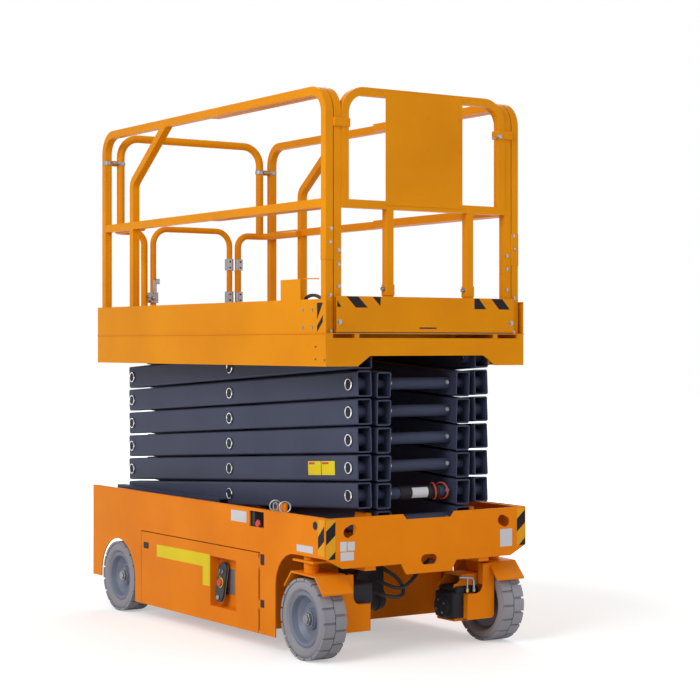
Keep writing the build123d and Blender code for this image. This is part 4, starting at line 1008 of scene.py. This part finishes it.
def makeGroundControls():
    s = controlSizes
    lean = Matrix.Translation(s["place"]) @ Matrix.Rotation(math.radians(s["lean"]), 4, "X")

    def leaning(bm):
        bmesh.ops.transform(bm, matrix=lean, verts=bm.verts)
        return bm

    straight = (s["length"] - s["width"]) / 2
    outline = []
    for step in range(26):
        lift, turn = (straight, step) if step < 13 else (-straight, step - 0.5)
        across, up = roundPoint(s["width"] / 2, math.pi * turn / 12.5)
        outline.append((across, lift + up))
    bm = bmesh.new()
    addPrism(bm, outline, (0, 0, 0), (1, 0, 0), (0, 0, 1), 2 * s["half"])
    addBox(bm, (-0.014, 0.004, -0.060), (0.014, 0.0485, -0.030))
    addBox(bm, (-0.014, 0.004, 0.030), (0.014, 0.016, 0.060))
    plate = keepPiece("controlPlate", leaning(bm), ["blackPlastic"], "tray_right", 0.0015)
    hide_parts("ground_controls")
    bm = bmesh.new()
    rim = [(a * 1.055, b * 1.025) for a, b in outline]
    addPrism(bm, rim, (0, s["half"] - 0.0012, 0), (1, 0, 0), (0, 0, 1), 0.002)
    keepPiece("controlRim", leaning(bm), ["zincSteel"], "tray_right", 0.0004)
    face = -s["half"]
    bm = bmesh.new()
    addTurned(bm, [(0.0205, 0), (0.0255, 0.001), (0.0255, 0.003), (0.0200, 0.004)],
              (0.004, face, -0.004), outRight, 28)
    keepPiece("stopCollar", leaning(bm), ["labelYellow"], "tray_right", 0.0004)
    bm = bmesh.new()
    addTurned(bm, [(0.009, 0), (0.009, 0.004), (0.0205, 0.005), (s["knob"] - 0.001, 0.009), (0.018, 0.0135),
                   (0, 0.0145)], (0.004, face, -0.004), outRight, 28)
    keepPiece("stopButton", leaning(bm), ["signalRed"], "tray_right", 0.0006)
    bm = bmesh.new()
    addTurned(bm, [(0.014, 0), (0.015, 0.003), (0.011, 0.005), (0, 0.005)], (0, face, 0.050), outRight, 24)
    addBox(bm, (-0.003, face - 0.016, 0.036), (0.003, face - 0.002, 0.064))
    addTurned(bm, [(0.012, 0), (0.0125, 0.003), (0.010, 0.007), (0, 0.007)], (-0.004, face, -0.078), outRight,
              20)
    addTurned(bm, [(0.007, 0), (0.006, 0.003), (0.0025, 0.004), (0.002, 0.013), (0, 0.0135)],
              (-0.010, face, 0.026), (-0.2, -1, 0.2), 12)
    keepPiece("panelSwitches", leaning(bm), ["zincSteel"], "tray_right", 0.0005)
    spots = [((s["place"][0] + dx, -0.5285, s["place"][2] + dz), outRight)
             for dx, dz in ((-0.062, -0.108), (-0.040, 0.112))]
    boltRow("recessScrews", spots, "tray_right", Head_Radius=0.0045, Head_Height=0.003, Sides=12, Washer_Radius=0.0065)


makeGroundControls()
print("chassis details made")


# Motors, hoses and fittings between the front wheels

motorSizes = dict(radius=0.0605, inner={"right": 0.2375, "left": 0.212}, outer=0.400, ribs=5,
                  firstRib=0.030, ribPitch=0.020)


def makeMotor(side, name):
    low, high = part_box("tyre_front_" + name)
    s = motorSizes
    place = Vector(((low.x + high.x) / 2, side * s["outer"], (low.z + high.z) / 2))
    length = s["outer"] - s["inner"][name]
    bm = bmesh.new()
    addTurned(bm, [(s["radius"], 0), (s["radius"], length - 0.012), (s["radius"] - 0.006, length - 0.003),
                   (s["radius"] - 0.018, length), (0, length)], place, (0, -side, 0), 36)
    for step in range(s["ribs"]):
        low = s["firstRib"] + step * s["ribPitch"]
        addBand(bm, s["radius"] - 0.002, s["radius"] + 0.0012, low, low + 0.008, 0.002, place, (0, -side, 0), 36)
    keepPiece("driveMotor_" + name, bm, ["blackSteel"], "knuckle_" + name, 0.0015)
    turns = [i * math.pi / 2 + 0.5 for i in range(4)]
    spots = [(place + Vector((0.034 * math.cos(turn), -side * (length - 0.001), 0.034 * math.sin(turn))), (0, -side, 0))
             for turn in turns]
    boltRow("motorScrews_" + name, spots, "knuckle_" + name, Head_Radius=0.005, Head_Height=0.004, Sides=12,
            Washer_Radius=0.0065, Washer_Height=0.001)


for side, name in sideNames.items():
    makeMotor(side, name)

# block: how high the black box of painted shade reaches on each side
bracketSizes = dict(x=1.166, back=1.128, inner=0.285, strip=0.378, outer=0.4475, low=0.130, shelf=0.256, top=0.398,
                    turn=0.040, plate=0.008, block={"right": 0.349, "left": 0.290})


def makeBracket(side, name):
    s = bracketSizes
    outline = [(s["inner"], s["low"]), (s["outer"] - 0.012, s["low"]), (s["outer"], s["low"] + 0.014),
               (s["outer"], s["top"]), (s["strip"], s["top"])]
    for step in range(7):
        angle = math.pi / 2 * step / 6
        outline.append((s["strip"] - s["turn"] * (1 - math.cos(angle)), s["shelf"] + s["turn"] * (1 - math.sin(angle))))
    outline.append((s["inner"], s["shelf"]))
    bm = bmesh.new()
    addPrism(bm, [(side * a, b) for a, b in outline], (s["x"], 0, 0), (0, 1, 0), (0, 0, 1), s["plate"])
    for y0, y1, z0, z1 in ((s["inner"], s["inner"] + 0.006, s["low"], s["shelf"]),
                           (s["inner"], s["strip"] - s["turn"], s["shelf"] - 0.006, s["shelf"]),
                           (s["strip"], s["strip"] + 0.006, s["shelf"] + s["turn"], s["top"]),
                           (s["inner"], s["outer"] - 0.012, s["low"], s["low"] + 0.006),
                           (s["outer"] - 0.006, s["outer"], s["low"] + 0.014, s["top"])):
        addSideBox(bm, side, (s["back"], y0, z0), (s["x"], y1, z1))
    keepPiece("motorBracket_" + name, bm, ["chassisOrange"], "knuckle_" + name, 0.002)
    # A black box over the deep shade behind the bracket, above each motor: painted shade
    boxPiece("paintedShadeBlock_" + name, "blackSteel", (0.990, 0.243, 0.250), (1.1345, s["strip"] + 0.003, s["block"][name]),
             "knuckle_" + name, 0.012, (side,))


for side, name in sideNames.items():
    makeBracket(side, name)


# The left motor's terminal box, which stands proud of its bracket, with a pipe and fittings

pipeSizes = dict(x=1.146, radius=0.0065, route=((0.250, 0.337), (0.318, 0.331), (0.336, 0.326), (0.340, 0.300),
                                                (0.340, 0.262)))


def makeMotorCover():
    s = pipeSizes
    x = s["x"]
    boxPiece("motorCover", "blackSteel", (0.985, 0.222, 0.136), (1.137, 0.296, 0.262), "knuckle_left", 0.010)
    bm = bmesh.new()
    addPipe(bm, [(x, y, z) for y, z in s["route"]], s["radius"])
    addPeg(bm, 0.010, 0, 0.016, (x, 0.340, 0.262), (0, 0, 1), 6)
    addPeg(bm, 0.009, 0, 0.018, (x, 0.300, 0.262), (0, 0, 1), 6, 1)
    addPeg(bm, 0.0045, 0, 0.052, (x, 0.300, 0.278), (0, 0.05, 1), 10)
    keepPiece("motorPipes", bm, ["zincSteel", "brassFitting"], "knuckle_left", 0.0008)


makeMotorCover()

# Pump unit, and the hoses that leave it

pumpSizes = dict(tank=(0.745, 0.205), middle=-0.045, half=0.11, radius=0.055, bands=(-0.13, 0.03), boxes=(
    ((0.690, -0.150, 0.240), (0.840, 0.020, 0.420)), ((0.700, -0.130, 0.200), (0.800, 0.000, 0.240))))
hoseSizes = dict(radius=0.0095, pipe=0.008, routes=(
    ((0.84, -0.06, 0.33), (0.92, -0.03, 0.30), (0.95, 0.05, 0.27), (0.93, 0.14, 0.32), (0.90, 0.22, 0.385),
     (0.90, 0.255, 0.395)),
    ((0.84, -0.10, 0.30), (0.93, -0.09, 0.26), (0.97, 0.01, 0.235), (0.95, 0.07, 0.25), (0.92, 0.06, 0.32),
     (0.86, -0.02, 0.38), (0.80, -0.03, 0.415)),
    ((0.84, -0.13, 0.36), (0.90, -0.19, 0.34), (0.92, -0.215, 0.30), (0.90, -0.225, 0.26), (0.86, -0.22, 0.24),
     (0.80, -0.20, 0.24))))


def makeFrontGear():
    s = pumpSizes
    x, z = s["tank"]
    half, radius = s["half"], s["radius"]
    bm = bmesh.new()
    for low, high in s["boxes"]:
        addBox(bm, low, high)
    addTurned(bm, [(0, -half), (radius - 0.003, -half), (radius, 0.01 - half), (radius, half - 0.01),
                   (radius - 0.003, half), (0, half)], (x, s["middle"], z), (0, 1, 0), 28)
    for y in s["bands"]:
        addBand(bm, radius, radius + 0.005, -0.006, 0.006, 0.001, (x, y, z), (0, 1, 0), 28)
    keepPiece("pumpUnit", bm, ["blackSteel"], "chassis", 0.003)
    bm = bmesh.new()
    for route in hoseSizes["routes"]:
        addPipe(bm, route, hoseSizes["radius"])
    keepPiece("clippedHoses", bm, ["hoseRubber"], "chassis", slot="steel_black")
    bm = bmesh.new()
    addPipe(bm, [(0.90, 0.250, 0.395), (0.90, 0.285, 0.396), (0.905, 0.290, 0.375), (0.905, 0.291, 0.358)],
            hoseSizes["pipe"])
    addPeg(bm, 0.013, 0, 0.022, (0.90, 0.246, 0.395), (0, 1, 0), 6)
    addPeg(bm, 0.012, 0, 0.016, (0.905, 0.272, 0.362), (0, 0, 1), 6, 1)
    keepPiece("hoseFittings", bm, ["zincSteel", "brassFitting"], "chassis", 0.0008)


makeFrontGear()
print("front gear made")


# Platform control box: face, levers and stop button on the side that the operator sees

def makeUpperControls():
    low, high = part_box("control_box")
    middle = (low.y + high.y) / 2
    bm = bmesh.new()
    addBox(bm, (low.x - 0.003, low.y + 0.012, low.z + 0.014), (low.x + 0.002, high.y - 0.012, high.z - 0.014))
    addTurned(bm, [(0.030, 0), (0.027, 0.006), (0.022, 0.010), (0.019, 0.018), (0.012, 0.024)],
              (low.x + 0.062, middle - 0.055, high.z - 0.001), (0, 0, 1), 24)
    addTurned(bm, [(0.009, 0), (0.009, 0.052), (0.015, 0.060), (0.014, 0.072), (0, 0.074)],
              (low.x + 0.062, middle - 0.055, high.z), (0, 0, 1), 20)
    keepPiece("upperPanel", bm, ["blackPlastic"], "extension", 0.002)
    bm = bmesh.new()
    addTurned(bm, [(0.010, 0), (0.020, 0.006), (0.0225, 0.014), (0.019, 0.021), (0, 0.023)],
              (low.x - 0.003, middle + 0.055, high.z - 0.065), (-1, 0, 0), 26)
    keepPiece("upperStop", bm, ["signalRed"], "extension", 0.001)
    bm = bmesh.new()
    for y in (-0.060, -0.020, 0.020):
        addTurned(bm, [(0.009, 0), (0.010, 0.003), (0.006, 0.004), (0.003, 0.006), (0.0025, 0.018), (0, 0.019)],
                  (low.x - 0.003, middle + y, low.z + 0.070), (-1, 0, 0.2), 14)
    keepPiece("upperSwitches", bm, ["zincSteel"], "extension", 0.0005)


makeUpperControls()


# Raised lozenges of the deck plates

def makeDeckTree():
    made, tree, start = newTree("deckLozenges", {
        "Length": 2.0, "Width": 1.0, "Pitch": 0.036, "Lozenge": 0.020, "Height": 0.0012})
    joined = addNode(tree, "GeometryNodeJoinGeometry")
    for turn, offset in ((45, 0.0), (-45, 0.5)):
        values = {"Size X": start["Length"], "Size Y": start["Width"],
                  "Vertices X": mathOf(tree, "DIVIDE", start["Length"], start["Pitch"]),
                  "Vertices Y": mathOf(tree, "DIVIDE", start["Width"], start["Pitch"])}
        grid = addNode(tree, "GeometryNodeMeshGrid", values).outputs["Mesh"]
        points = addNode(tree, "GeometryNodeMeshToPoints", {"Mesh": grid}).outputs[0]
        values = {"Vertices": 6, "Radius Top": 0.6, "Radius Bottom": 1.0, "Depth": 1.0}
        stud = addNode(tree, "GeometryNodeMeshCone", values).outputs["Mesh"]
        half, slim = (mathOf(tree, "MULTIPLY", start["Lozenge"], share) for share in (0.5, 0.15))
        values = {"Points": points, "Instance": stud, "Scale": combine(tree, X=half, Y=slim, Z=start["Height"]),
                  "Rotation": (0, 0, math.radians(turn))}
        placed = addNode(tree, "GeometryNodeInstanceOnPoints", values).outputs[0]
        values = {0: (offset, offset, 0), "Scale": start["Pitch"]}
        shift = addNode(tree, "ShaderNodeVectorMath", values, operation="SCALE").outputs[0]
        feed(tree, joined, {0: moved(tree, placed, shift)})
    endTree(tree, start, joined.outputs[0])
    return made


deckTree = makeDeckTree()
deckSizes = dict(pitch=0.040, lozenge=0.024, height=0.0012, margin=0.045, extensionTop=1.5263)


def makeDeckPlate(name, x0, x1, halfWidth, top, body):
    s = deckSizes
    bakeTree(name, bpy.data.meshes.new(name + "Start"), deckTree, {
        "Length": x1 - x0 - 2 * s["margin"], "Width": 2 * (halfWidth - s["margin"]), "Pitch": s["pitch"],
        "Lozenge": s["lozenge"], "Height": s["height"], "Finish": paints["platformAmber"]},
        body, turned=Matrix.Translation(((x0 + x1) / 2, 0, top)))


low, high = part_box("platform_floor")
makeDeckPlate("deckPattern", low.x + 0.02, high.x - 0.03, 0.450, high.z, "platform")
low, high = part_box("extension_deck")
makeDeckPlate("extensionPattern", low.x + 0.02, high.x - 0.08, 0.440, deckSizes["extensionTop"], "extension")
print("deck plates made")

# Camera, light and floor

cameraSizes = dict(place=(8.0872, -4.9986, 1.4593), aim=(-0.8327, 0.5538, -0.0027), lens=92.5)
camera = inScene(bpy.data.objects.new("camera", bpy.data.cameras.new("camera")))
camera.location = cameraSizes["place"]
camera.rotation_euler = Vector(cameraSizes["aim"]).to_track_quat("-Z", "Y").to_euler()
camera.data.lens = cameraSizes["lens"]
camera.data.sensor_width = 36
camera.data.clip_end = 100
bpy.context.scene.camera = camera

lamps = {
    "keyLamp": dict(place=(3.0, -7.5, 5.5), size=5.0, power=450),
    "fillLamp": dict(place=(8.5, 3.0, 4.0), size=5.0, power=120),
    "backLamp": dict(place=(-6.0, 4.5, 6.0), size=5.0, power=230),
}
lampAim = Vector((0, 0, 1.0))
for name, look in lamps.items():
    lamp = bpy.data.lights.new(name, "AREA")
    lamp.size = look["size"]
    lamp.energy = look["power"]
    holder = inScene(bpy.data.objects.new(name, lamp))
    holder.location = look["place"]
    holder.rotation_euler = (lampAim - Vector(look["place"])).to_track_quat("-Z", "Y").to_euler()


def seenDirectly(tree):
    # 1 where the camera sees it straight, by reflection or through glass
    rays = addNode(tree, "ShaderNodeLightPath").outputs
    seen = mathOf(tree, "MAXIMUM", rays["Is Camera Ray"], rays["Is Glossy Ray"])
    return mathOf(tree, "MAXIMUM", seen, rays["Is Transmission Ray"])


# The world is dim as a light and white as a background
studioSizes = dict(dim=0.44, white=1.0, floorHalf=30, floorHeight=-0.001, near=2.0, far=5.0, nearGlow=0.42)
world = bpy.data.worlds.new("studio")
bpy.context.scene.world = world
world.use_nodes = True
tree = world.node_tree
dim = tree.nodes["Background"]
feed(tree, dim, {"Color": (1, 1, 1, 1), "Strength": studioSizes["dim"]})
bright = addNode(tree, "ShaderNodeBackground", {"Color": (1, 1, 1, 1), "Strength": studioSizes["white"]})
choice = addNode(tree, "ShaderNodeMixShader", {0: seenDirectly(tree), 1: dim.outputs[0], 2: bright.outputs[0]})
feed(tree, tree.nodes["World Output"], {0: choice.outputs[0]})

# The floor takes the shadow and fades to white away from the machine
bm = bmesh.new()
bmesh.ops.create_grid(bm, x_segments=1, y_segments=1, size=studioSizes["floorHalf"])
mesh = bpy.data.meshes.new("studioFloor")
bm.to_mesh(mesh)
bm.free()
floor = inScene(bpy.data.objects.new("studioFloor", mesh))
floor.location.z = studioSizes["floorHeight"]
pale = bpy.data.materials.new("paleFloor")
pale.use_nodes = True
tree = pale.node_tree
shader = tree.nodes["Principled BSDF"]
feed(tree, shader, {"Base Color": (0.80, 0.80, 0.80, 1), "Roughness": 1.0, "Specular IOR Level": 0.0})
ground = addNode(tree, "ShaderNodeTexCoord").outputs["Object"]
away = addNode(tree, "ShaderNodeVectorMath", {0: ground}, operation="LENGTH").outputs["Value"]
fade = rangeOf(tree, away, studioSizes["near"], studioSizes["far"], studioSizes["nearGlow"], 1.0)
strength = mathOf(tree, "MULTIPLY", seenDirectly(tree), fade)
glow = addNode(tree, "ShaderNodeEmission", {"Color": (1, 1, 1, 1), "Strength": strength})
total = addNode(tree, "ShaderNodeAddShader", {0: shader.outputs[0], 1: glow.outputs[0]})
feed(tree, tree.nodes["Material Output"], {0: total.outputs[0]})
mesh.materials.append(pale)
bpy.context.scene.view_settings.view_transform = "Standard"
